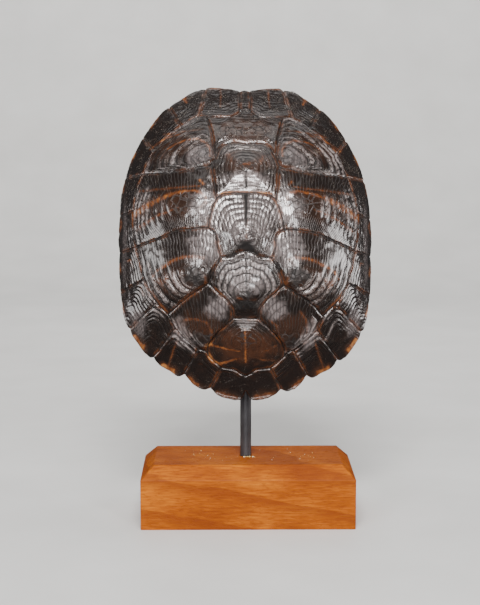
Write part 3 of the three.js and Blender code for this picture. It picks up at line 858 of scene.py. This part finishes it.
def rim_at(count):
    """That many points round the rim, the same on both sides of the midline"""
    length = np.concatenate([[0], np.cumsum(np.linalg.norm(np.diff(CLEAN_RIM, axis=0), axis=1))])
    at = np.linspace(0, length[-1], count, endpoint=False)
    return np.column_stack([np.interp(at, length, CLEAN_RIM[:, axis]) for axis in (0, 1)])


def backbone(edge):
    """Where each point of the rim looks to: the near side of the backbone"""
    across = np.clip(edge[:, 0] / 5, -SPINE_HALF_WIDTH, SPINE_HALF_WIDTH)
    return np.column_stack([across, mix(SPINE_TAIL, SPINE_HEAD, edge[:, 1] / GIRTH[0][1])])


def inset(edge, distance):
    way = backbone(edge) - edge
    return edge + way * (np.reshape(distance, (-1, 1)) / np.linalg.norm(way, axis=1)[:, None])


def below(edge, distance, drop):
    plan = inset(edge, distance)
    return np.column_stack([plan, rim_height(plan) - drop])


def rib_phase(plan):
    """Whole numbers on the ribs, halves on the sutures between them"""
    spread = 1 + RIB_SPREAD * np.abs(plan[:, 0]) / 60
    return np.interp(CENTRE + (plan[:, 1] - CENTRE) / spread, RIBS, np.arange(len(RIBS)))


def bone_relief(plan):
    phase = rib_phase(plan)
    off_rib = np.abs(phase - np.round(phase))
    away = np.abs(plan[:, 0])
    ribs = RIB_HEIGHT * np.exp(-((off_rib / RIB_HALF_WIDTH) ** 2))
    ribs *= (1 - smooth(*RIBS_FADE, away)) * smooth(*RIBS_BEGIN, away)
    return ribs + 0.15 * mottle(plan, 5, 51) + 0.06 * mottle(plan, 1.6, 52)


def ridge_height(plan):
    """The backbone's ridge above the hollow's wall"""
    s = np.clip(1 - np.abs(plan[:, 0]) / SPINE_HALF_WIDTH, 0, 1)
    ends = smooth(SPINE_TAIL, SPINE_TAIL + SPINE_END, plan[:, 1])
    ends = ends * (1 - smooth(SPINE_HEAD - SPINE_END, SPINE_HEAD, plan[:, 1]))
    knob = SPINE_KNOB * np.cos(2 * math.pi * plan[:, 1] / SPINE_PITCH)
    return (SPINE_HEIGHT + knob) * np.sqrt(s) * ends


def hollow_rings(rim_plan):
    """Rings of points from under the rim's edge to the backbone: plan, place, and horn or bone"""
    rings = []
    for distance, drop in EDGE_ROUNDING:
        rings.append((inset(rim_plan, distance), below(rim_plan, distance, drop), 1))
    edge = rim_at(HOLLOW_COUNT)
    width = mix(LIP_SIDE, LIP_END, end_share(edge))
    for share, horn in LIP_HORN:
        wave = 0.15 * mottle(inset(edge, width * share), 4, 53)
        place = below(edge, width * share, LIP_DROP + wave)
        rings.append((inset(edge, width * share), place, horn))
    start = inset(edge, width - 0.5)
    lip, wall = below(edge, width, LIP_DROP), on_dome(start, -WALL)
    corner = mix(lip, wall, np.array([0.35, 0.35, 0.75]))
    for s in np.linspace(0, 1, 8)[:-1]:
        place = (1 - s) ** 2 * lip + 2 * s * (1 - s) * corner + s * s * wall
        rings.append((place[:, :2], place, 0))
    target = backbone(edge)
    for share in np.linspace(0, 1, HOLLOW_RINGS):
        plan = mix(start, target, share)
        fade = smooth(0, 0.15, share)
        rings.append((plan, on_dome(plan, -WALL - fade * bone_relief(plan)), 0))
    for s in RIDGE_STEPS:
        plan = target * (1 - s, 1)
        height = ridge_height(plan) + 0.3 * mottle(plan, 3, 54) * s
        rings.append((plan, on_dome(plan, -WALL - bone_relief(plan) - height), 0))
    return rings


def zipped(outer, inner):
    """Triangles between two closed rings of ids, which may differ in number"""
    faces = []
    i = j = 0
    while i < len(outer) or j < len(inner):
        if j == len(inner) or (i < len(outer) and (i + 1) * len(inner) <= (j + 1) * len(outer)):
            faces.append((outer[i], outer[(i + 1) % len(outer)], inner[j % len(inner)]))
            i += 1
        else:
            faces.append((outer[i % len(outer)], inner[(j + 1) % len(inner)], inner[j]))
            j += 1
    return [face for face in faces if len(set(face)) == 3]


# ---------------------------------------------------------------- the shell as one piece


def to_world(points):
    """From the shell's own frame to the row frame, in metres"""
    u, v, w = points[:, 0], points[:, 1] - SKEW * points[:, 0], points[:, 2]
    back = -TAIL_SETBACK + v * math.sin(LEAN) - w * math.cos(LEAN)
    up = TAIL_HEIGHT + v * math.cos(LEAN) + w * math.sin(LEAN)
    return np.column_stack([ROD_X + u, back, up]) * MM


def mesh_piece(name, points, faces):
    mesh = bpy.data.meshes.new(name)
    mesh.from_pydata([tuple(p) for p in points], [], [tuple(int(i) for i in f) for f in faces])
    mesh.polygons.foreach_set("use_smooth", [True] * len(mesh.polygons))
    mesh.update()
    piece = bpy.data.objects.new(name, mesh)
    bpy.context.scene.collection.objects.link(piece)
    return piece


def build_shell():
    flat, outer_faces, rim_ids = outer_net()
    plan = unrolled.restore(notched(flat))
    rise, fields = outer_relief(flat)
    fields.update(markings(flat))
    fields["horn"] = np.ones(len(flat))
    fields["rib"] = np.zeros(len(flat))
    rise[rim_ids] = np.minimum(rise[rim_ids], RIM_RISE)
    points = [on_dome(plan, rise)]
    faces = [tuple(face) for face in outer_faces]

    ring, count = rim_ids, len(flat)
    rings = hollow_rings(plan[rim_ids])
    for number, (ring_plan, place, horn) in enumerate(rings):
        fresh = np.arange(count, count + len(place))
        if number == len(rings) - 1:  # the last ring is a line: its left half is its right half
            half = len(place) // 2
            fresh = np.concatenate([fresh[: half + 1], fresh[1:half][::-1]])
            place, ring_plan = place[: half + 1], ring_plan[: half + 1]
        faces += zipped(list(ring), list(fresh))
        points.append(place)
        ring, count = fresh, count + len(place)
        extra = {
            "horn": np.full(len(place), horn), "rib": rib_phase(ring_plan),
            "seam": np.full(len(place), SEAM_FAR),
        }
        for name, values in fields.items():
            fields[name] = np.concatenate([values, extra.get(name, np.zeros(len(place)))])
    shell = mesh_piece("turtle_carapace", to_world(np.concatenate(points)), faces)
    for name, values in fields.items():
        layer = shell.data.attributes.new(name, "FLOAT", "POINT")
        layer.data.foreach_set("value", values.astype(np.float32))
    print("shell", len(shell.data.vertices), "points", len(shell.data.polygons), "triangles")
    return shell


# ---------------------------------------------------------------- materials


class Wire:
    """A socket of a material, so that patterns are put together with plain arithmetic"""

    def __init__(self, bench, socket):
        self.bench, self.socket = bench, socket

    def __add__(self, other):
        return self.bench.maths("ADD", self, other)

    def __sub__(self, other):
        return self.bench.maths("SUBTRACT", self, other)

    def __rsub__(self, other):
        return self.bench.maths("SUBTRACT", other, self)

    def __mul__(self, other):
        return self.bench.maths("MULTIPLY", self, other)

    def __truediv__(self, other):
        return self.bench.maths("DIVIDE", self, other)

    def __pow__(self, other):
        return self.bench.maths("POWER", self, other)

    __radd__ = __add__
    __rmul__ = __mul__


class Bench:
    """One material being made"""

    def __init__(self, name):
        self.material = bpy.data.materials.new(name)
        self.material.use_nodes = True
        self.tree = self.material.node_tree
        self.shader = self.tree.nodes["Principled BSDF"]
        self.place = self.node("ShaderNodeTexCoord", out="Object")

    def node(self, kind, settings=(), sockets=(), out=0):
        """Any node: its settings first, then the values or links of its sockets"""
        made = self.tree.nodes.new(kind)
        for name, value in dict(settings).items():
            if name == "stops":
                self.set_stops(made.color_ramp, value)
            else:
                setattr(made, name, value)
        for name, value in dict(sockets).items():
            self.plug(made.inputs[name], value)
        return Wire(self, made.outputs[out])

    def set_stops(self, ramp, stops):
        while len(ramp.elements) < len(stops):
            ramp.elements.new(1)
        for element, (position, colour) in zip(ramp.elements, stops):
            element.position = position
            element.color = (*colour, 1)

    def plug(self, socket, value):
        if isinstance(value, Wire):
            self.tree.links.new(value.socket, socket)
        else:
            socket.default_value = value

    def maths(self, operation, *values):
        return self.node("ShaderNodeMath", {"operation": operation}, dict(enumerate(values)))

    def ease(self, low, high, value):
        """0 below low, 1 above high, with a soft step between them"""
        settings = {"interpolation_type": "SMOOTHSTEP"}
        sockets = {"Value": value, "From Min": low, "From Max": high}
        return self.node("ShaderNodeMapRange", settings, sockets)

    def field(self, name):
        return self.node("ShaderNodeAttribute", {"attribute_name": name}, out="Fac")

    def stretched(self, scale, turn=(0, 0, 0)):
        sockets = {"Vector": self.place, "Scale": scale, "Rotation": turn}
        return self.node("ShaderNodeMapping", sockets=sockets)

    def grain(self, size, detail=3.0, at=None, rough=0.5):
        """Noise whose patches are about that many millimetres"""
        sockets = {"Vector": at or self.place, "Scale": 1 / (size * MM)}
        sockets.update({"Detail": detail, "Roughness": rough})
        return self.node("ShaderNodeTexNoise", sockets=sockets, out="Fac")

    def ramp(self, value, *stops):
        return self.node("ShaderNodeValToRGB", {"stops": stops}, {"Fac": value}, out="Color")

    def blend(self, share, a, b, how="MIX"):
        """One colour into another"""
        colours = [c if isinstance(c, Wire) else (*c, 1) for c in (a, b)]
        sockets = {0: share, 6: colours[0], 7: colours[1]}
        return self.node("ShaderNodeMix", {"data_type": "RGBA", "blend_type": how}, sockets, out=2)

    def finish(self, colour, rough, height=None, **fixed):
        """Colour, roughness and relief in millimetres, and values that are the same all over"""
        self.plug(self.shader.inputs["Base Color"], colour)
        self.plug(self.shader.inputs["Roughness"], rough)
        if height is not None:
            sockets = {"Height": height, "Distance": MM, "Strength": 1.0}
            bump = self.node("ShaderNodeBump", sockets=sockets, out="Normal")
            self.plug(self.shader.inputs["Normal"], bump)
        for name, value in fixed.items():
            self.plug(self.shader.inputs[name.replace("_", " ")], value)
        return self.material


def ridges(bench, phase, flatness=0.6):
    """Round-topped ridges with narrow valleys at the whole numbers of the phase, 0 to 1"""
    wave = bench.maths("ABSOLUTE", bench.maths("SINE", phase * math.pi))
    return wave ** flatness


HORN_SHADES = (  # from black to the orange of the streaks
    (0.0, (0.008, 0.0052, 0.0042)), (0.1, (0.017, 0.0085, 0.0055)), (0.3, (0.042, 0.015, 0.0065)),
    (0.6, (0.1, 0.03, 0.008)), (0.95, (0.25, 0.1, 0.028)),
)
BLEACHED_AND_HIGHLIGHT_HORN = (0.28, 0.235, 0.23)
PALE_CREST_HORN = (0.28, 0.235, 0.225)
BLACK_AND_SHADOW_HORN = (0.003, 0.003, 0.003)
SEAM_DARK_AND_CUT_SHADE = (0.003, 0.0025, 0.0025)
DUST_SPECKS = (0.42, 0.36, 0.3)
BONE_SHADES = ((0.33, (0.17, 0.09, 0.04)), (0.5, (0.42, 0.3, 0.17)), (0.62, (0.6, 0.49, 0.33)))
PALE_BONE = (0.72, 0.62, 0.46)
SUTURE_BROWN = (0.1, 0.055, 0.028)
PORE_BROWN = (0.14, 0.08, 0.04)
CELL_SIZE = 3.6  # of the cracks in an areola, in mm


def from_whole(m, phase):
    """How far the phase is from the nearest whole number"""
    return m.maths("ABSOLUTE", m.maths("FRACT", phase + 0.5) - 0.5)


def bare_bone(m, rib, fine, coarse):
    """Colour, pores and relief of the bone inside, whose ribs lie on the whole numbers of rib"""
    stain = m.grain(14, 6, rough=0.65) * 0.7 + m.grain(2.2, 5) * 0.3
    colour = m.ramp(stain, *BONE_SHADES)
    colour = m.blend((1 - m.ease(0.02, 0.3, from_whole(m, rib))) * 0.35, colour, PALE_BONE)
    zigzag = rib + (m.grain(1.3, 2) - 0.5) * 0.16
    suture = 1 - m.ease(0.02, 0.07, m.maths("ABSOLUTE", m.maths("FRACT", zigzag) - 0.5))
    colour = m.blend(suture * 0.7, colour, SUTURE_BROWN)
    pores = m.ease(0.68, 0.76, m.grain(0.8, 2))
    colour = m.blend(pores * 0.5, colour, PORE_BROWN)
    return colour, pores, fine * 0.05 + coarse * 0.12 - suture * 0.2 - pores * 0.1


def horn_and_bone():
    m = Bench("horn_and_bone")
    seam, rings, rugae, areola = [m.field(n) for n in ("seam", "rings", "rugae", "areola")]
    ring_weight, ruga_weight = m.field("ring_weight"), m.field("ruga_weight")
    orange, black, pale = m.field("orange"), m.field("black"), m.field("pale")
    dusty, horn = m.field("dusty"), m.field("horn")
    fine, coarse, patchy = m.grain(0.35, 4), m.grain(1.6, 4), m.grain(6, 4)

    # ridges of the rings and the wrinkles, and all that is cut into the horn
    ring_ridge = ridges(m, rings + coarse * 0.1, 0.4)
    ruga_ridge = ridges(m, rugae + fine * 0.25, 0.25)
    micro_ridge = ridges(m, rings * 3 + fine * 0.5)
    crack = 1 - m.ease(0.08, 0.4, seam + (fine - 0.5) * 0.3)
    cell = m.node(
        "ShaderNodeTexVoronoi", {"feature": "DISTANCE_TO_EDGE"},
        {"Vector": m.stretched((1, 0.6, 1)), "Scale": 1 / (CELL_SIZE * MM)},
    )
    split = (1 - m.ease(0.0, 0.09, cell + (fine - 0.5) * 0.08)) * areola
    valley = (1 - m.ease(0.15, 0.75, ring_ridge)) * m.ease(0.2, 0.8, ring_weight)
    groove = (1 - m.ease(0.5, 0.9, ruga_ridge)) * m.ease(0.1, 0.6, ruga_weight)
    cut = m.maths("MAXIMUM", crack, m.maths("MAXIMUM", groove, split))
    cut = m.maths("MAXIMUM", cut, valley)

    # colour: streaks, bleach with painted highlight, pale crests, black with painted shadow, dark
    # seams and painted shade in cuts, dust
    along_seams = (1 - m.ease(0.4, 2.2, seam)) * m.ease(0.38, 0.62, patchy) * 0.42
    streaks = m.grain(0.8, 3, m.stretched((1, 1, 0.25)))
    warm = orange * (0.7 + streaks * 0.6) + along_seams
    warm = warm + (patchy - 0.5) * 0.25 + (fine - 0.5) * 0.12
    # the ring valleys are painted darker, as shade
    shade = m.ramp(warm * (1 - valley * 0.7), *HORN_SHADES)
    # bleached horn together with painted highlight, lighter on the ridges of the pale patches
    bleach_and_highlight = pale * ruga_ridge * ring_ridge * m.ease(0.18, 0.55, coarse) * 0.7
    shade = m.blend(bleach_and_highlight, shade, BLEACHED_AND_HIGHLIGHT_HORN)
    # lighter on the crests of the strongest rings
    pale_crest = m.ease(0.7, 1, ring_ridge) * m.ease(0.8, 1.7, ring_weight) * m.ease(0.35, 0.6, coarse)
    shade = m.blend(pale_crest * 0.6, shade, PALE_CREST_HORN)
    # black pigment, with painted shadow under the bumps and painted shade in the creases
    shade = m.blend(black * 0.95, shade, BLACK_AND_SHADOW_HORN)
    # the seams keep their own dark line; grooves, splits and ring valleys get painted shade
    shade = m.blend(cut * 0.97, shade, SEAM_DARK_AND_CUT_SHADE)
    specks = m.ease(0.62, 0.68, m.grain(0.5, 2)) * m.ease(0.45, 0.62, m.grain(4, 2))
    specks = specks * (0.2 + dusty * 0.7)
    shade = m.blend(specks * 0.6, shade, DUST_SPECKS)

    bone, pores, bone_height = bare_bone(m, m.field("rib"), fine, coarse)
    colour = m.blend(horn, bone, shade)

    horn_rough = 0.12 + coarse * 0.12 + fine * 0.06 + specks * 0.35 + cut * 0.6 + black * 0.3
    rough = horn_rough * horn + (0.62 + pores * 0.2) * (1 - horn)
    horn_height = ring_ridge * ring_weight * 0.24 + micro_ridge * ring_weight * 0.03
    horn_height = horn_height + ruga_ridge * ruga_weight * 0.22 - crack * 0.3 - split * 0.14
    horn_height = horn_height + fine * (0.035 + dusty * 0.025) + coarse * 0.06
    height = horn_height * horn + bone_height * (1 - horn)
    coat = horn * (1 - cut) * (1 - black * 0.8) * 0.55
    m.plug(m.shader.inputs["Coat Weight"], coat)
    fixed = {"IOR": 1.58, "Coat_Roughness": 0.12, "Specular_Tint": (1, 0.9, 0.87, 1)}
    return m.finish(colour, rough, height, **fixed)


def satin_steel():
    m = Bench("satin_steel")
    drawn = m.grain(1.2, 4, m.stretched((1, 1, 0.04)))
    cloud = m.grain(7, 4)
    shades = ((0.3, (0.034, 0.032, 0.034)), (0.7, (0.08, 0.076, 0.08)))
    colour = m.ramp(cloud * 0.6 + drawn * 0.4, *shades)
    rough = 0.33 + drawn * 0.14 + cloud * 0.1
    return m.finish(colour, rough, drawn * 0.012, Metallic=0.85)


WOOD_SHADES = (
    (0.32, (0.15, 0.028, 0.001)), (0.5, (0.255, 0.057, 0.0014)), (0.68, (0.4, 0.112, 0.0035)),
)
LATE_WOOD = (0.15, 0.028, 0.002)
FLECK_BROWN = (0.16, 0.03, 0.002)
YEAR_WIDTH = 19  # of a year ring, in mm
HEART = (-0.02, -0.075)  # y and z of the log's heart, in m


def hardwood():
    m = Bench("hardwood")
    turn = (0, math.radians(-11), math.radians(4))
    slanted = m.stretched((1, 1, 1), turn)
    side, depth = [
        m.node("ShaderNodeSeparateXYZ", sockets={"Vector": slanted}, out=axis) for axis in (1, 2)
    ]
    wavy = m.grain(22, 3, m.stretched((0.35, 1, 1), turn))
    from_heart = m.maths("SQRT", (depth - HEART[1]) ** 2 + (side - HEART[0]) ** 2)
    year = m.maths("FRACT", from_heart / (YEAR_WIDTH * MM) + wavy * 0.5 + 0.75)
    late = m.ease(0.55, 0.97, year) * (1 - m.ease(0.97, 1.0, year))
    fibre = m.grain(1.0, 5, m.stretched((0.12, 1, 1), turn))
    fleck = m.ease(0.52, 0.66, m.grain(0.9, 4, m.stretched((0.3, 1, 1), turn)))
    cloud = m.grain(16, 4, m.stretched((0.45, 1, 1)))
    colour = m.ramp(cloud * 0.55 + fibre * 0.45, *WOOD_SHADES)
    colour = m.blend(late * 0.6, colour, LATE_WOOD)
    colour = m.blend(fleck * 0.35, colour, FLECK_BROWN)
    rough = 0.4 + fibre * 0.14 + fleck * 0.15
    relief = fibre * 0.04 - fleck * 0.07
    return m.finish(colour, rough, relief, IOR=1.45, Specular_IOR_Level=0.12)


def crumb_dust():
    m = Bench("crumb_dust")
    shades = ((0.35, (0.4, 0.25, 0.06)), (0.5, (0.58, 0.42, 0.15)), (0.65, (0.6, 0.56, 0.48)))
    colour = m.ramp(m.grain(1.5, 2), *shades)
    return m.finish(colour, 0.8, m.grain(0.2, 3) * 0.05)


def studio_paint():
    m = Bench("studio_paint")
    cloud = m.grain(60, 4)
    colour = m.ramp(cloud, (0.3, (0.56, 0.55, 0.53)), (0.7, (0.61, 0.6, 0.58)))
    return m.finish(colour, 0.55 + cloud * 0.1, m.grain(1.5, 3) * 0.02)


def dress(piece, material):
    piece.data.materials.clear()
    piece.data.materials.append(material)


# ---------------------------------------------------------------- the stand

BEVEL = 0.5  # of the block's worn edges
ROD_RADIUS = 3
ROD_SIDES = 64
CRUMBS = 52
FOOT_CRUMBS = 14  # of them lie in front of the rod's foot
CRUMB_FIELD = (38, 14)  # how far the others lie from the block's middle


def soften_block(block):
    """The block keeps its own mesh; its edges are eased"""
    weld = block.modifiers.new("weld", "WELD")
    weld.merge_threshold = 0.01 * MM
    bevel = block.modifiers.new("eased edges", "BEVEL")
    bevel.width = BEVEL * MM
    bevel.segments = 3
    bevel.limit_method = "ANGLE"
    bevel.angle_limit = math.radians(25)
    bevel.harden_normals = False


def lathe(name, profile, centre, sides):
    """A round piece from (radius, height) pairs, closed at both ends"""
    points, faces = [], []
    for radius, height in profile:
        for k in range(sides):
            turn = 2 * math.pi * k / sides
            x, y = centre[0] + radius * math.cos(turn), centre[1] + radius * math.sin(turn)
            points.append((x, y, height))
    for row in range(len(profile) - 1):
        for k in range(sides):
            a, b = row * sides + k, row * sides + (k + 1) % sides
            faces.append((a, b, b + sides, a + sides))
    faces.append(tuple(range(sides))[::-1])
    faces.append(tuple(range((len(profile) - 1) * sides, len(profile) * sides)))
    return mesh_piece(name, np.array(points) * MM, faces)


def build_rod():
    low, high = [corner.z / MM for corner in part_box("rod")]
    middle = [(a + b) / 2 / MM for a, b in zip(*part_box("rod"))]
    profile = [(0.2, low), (ROD_RADIUS - 0.4, low), (ROD_RADIUS, low + 0.4)]
    profile += [(ROD_RADIUS, z) for z in np.linspace(low + 2, high - 2, 60)]
    profile += [(ROD_RADIUS, high - 0.7), (ROD_RADIUS - 0.2, high - 0.25)]
    profile += [(ROD_RADIUS - 0.6, high), (0.2, high)]
    return lathe("steel_rod", profile, middle, ROD_SIDES)


def build_crumbs(block_top):
    """Grains of old dust and glue round the rod's foot"""
    draw = np.random.default_rng(17)
    mesh = bmesh.new()
    for number in range(CRUMBS):
        if number < FOOT_CRUMBS:
            x, y = ROD_X + draw.uniform(-1, 5), draw.uniform(-5.6, -4.4)
            size = draw.uniform(0.3, 0.6)
        else:
            x, y = [draw.uniform(-reach, reach) for reach in CRUMB_FIELD]
            size = draw.uniform(0.12, 0.28)
        if math.hypot(x - ROD_X, y) < ROD_RADIUS + 1:
            continue
        spot = Matrix.Translation(Vector((x, y, block_top + size * 0.3)) * MM)
        grown = bmesh.ops.create_icosphere(mesh, subdivisions=1, radius=size * MM, matrix=spot)
        for corner in grown["verts"]:
            centre = spot.translation
            stretch = Vector(draw.uniform(0.6, 1.25, 3) * (1, 1, 0.7))
            corner.co = centre + Vector(a * b for a, b in zip(corner.co - centre, stretch))
    data = bpy.data.meshes.new("dust_crumbs")
    mesh.to_mesh(data)
    mesh.free()
    piece = bpy.data.objects.new("dust_crumbs", data)
    bpy.context.scene.collection.objects.link(piece)
    return piece


# ---------------------------------------------------------------- stage, light and camera


FLOOR_HALF_WIDTH = 2.5  # in m, like all of the room
FLOOR_FRONT = -2.5
SWEEP_START = 0.9
SWEEP_RADIUS = 0.7
BACKDROP_TOP = 1.1

MIDDLE = (0, 0, 0.15)  # of the object
LAMPS = {  # name: place, target, width, height and watts
    "left softbox": ((-0.85, -1.45, 0.55), MIDDLE, 0.24, 0.46, 10),
    "right softbox": ((0.72, -1.5, 0.6), MIDDLE, 0.24, 0.46, 12),
    "high softbox": ((-0.05, -1.08, 1.2), MIDDLE, 0.6, 0.28, 38),
    "low strip": ((0, -1.4, 0.09), MIDDLE, 1.0, 0.14, 6),
    "top softbox": ((0, 0.12, 1.4), MIDDLE, 1.2, 0.7, 4),
    "left strip": ((-0.9, 0.03, 0.2), MIDDLE, 0.45, 0.35, 3),
    "right strip": ((0.9, 0.03, 0.2), MIDDLE, 0.45, 0.35, 5),
    "back softbox": ((0, 0.9, 0.7), MIDDLE, 1.0, 0.35, 2),
    "backdrop lamp": ((0, 0.4, 1.1), (0, 1.7, 0.55), 1.6, 0.5, 18),
}
ROOM_COLOUR = (0.9, 0.93, 1, 1)
ROOM_LIGHT = 0.07


def build_floor():
    """A pale floor that sweeps up behind the object"""
    profile = [(FLOOR_FRONT, 0), (SWEEP_START, 0)]
    for a in np.linspace(0.1, math.pi / 2, 16):
        back = SWEEP_START + SWEEP_RADIUS * math.sin(a)
        profile.append((back, SWEEP_RADIUS - SWEEP_RADIUS * math.cos(a)))
    profile.append((SWEEP_START + SWEEP_RADIUS, BACKDROP_TOP))
    points = [(x, y, z) for y, z in profile for x in (-FLOOR_HALF_WIDTH, FLOOR_HALF_WIDTH)]
    faces = [(2 * i, 2 * i + 1, 2 * i + 3, 2 * i + 2) for i in range(len(profile) - 1)]
    return mesh_piece("floor", np.array(points), faces)


def softbox(name, place, target, width, height, watts):
    light = bpy.data.lights.new(name, "AREA")
    light.shape = "RECTANGLE"
    light.size, light.size_y = width, height
    light.energy = watts
    lamp = bpy.data.objects.new(name, light)
    lamp.location = place
    lamp.rotation_euler = (Vector(target) - Vector(place)).to_track_quat("-Z", "Y").to_euler()
    bpy.context.scene.collection.objects.link(lamp)


def light_the_room():
    """Soft lamps, and a dim even light from all round"""
    for name, settings in LAMPS.items():
        softbox(name, *settings)
    world = bpy.data.worlds.new("soft room")
    world.use_nodes = True
    background = world.node_tree.nodes["Background"]
    background.inputs["Color"].default_value = ROOM_COLOUR
    background.inputs["Strength"].default_value = ROOM_LIGHT
    bpy.context.scene.world = world


FRAME_HEIGHT = 605  # pixels, the picture's long side
FOCAL_PIXELS = 1540
SENSOR = 36
CAMERA_PLACE = (-0.0132, -0.828, 0.232)
CAMERA_PITCH = math.radians(7.8)  # down
CAMERA_YAW = math.radians(0.63)  # to the right


def place_camera():
    data = bpy.data.cameras.new("camera")
    data.sensor_width = SENSOR
    data.lens = SENSOR * FOCAL_PIXELS / FRAME_HEIGHT
    camera = bpy.data.objects.new("camera", data)
    camera.location = CAMERA_PLACE
    camera.rotation_euler = (math.pi / 2 - CAMERA_PITCH, 0, -CAMERA_YAW)
    bpy.context.scene.collection.objects.link(camera)
    bpy.context.scene.camera = camera


# ---------------------------------------------------------------- putting it together

place_camera()

shell = build_shell()
dress(shell, horn_and_bone())
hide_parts("carapace")
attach(shell, "root")

rod = build_rod()
dress(rod, satin_steel())
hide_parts("rod")
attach(rod, "root")

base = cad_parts["base"]
soften_block(base)
dress(base, hardwood())

crumbs = build_crumbs(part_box("base")[1].z / MM)
dress(crumbs, crumb_dust())
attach(crumbs, "root")

floor = build_floor()
dress(floor, studio_paint())
floor.visible_glossy = False  # the horn's gloss mirrors the lamps and the dim room, not the floor
light_the_room()
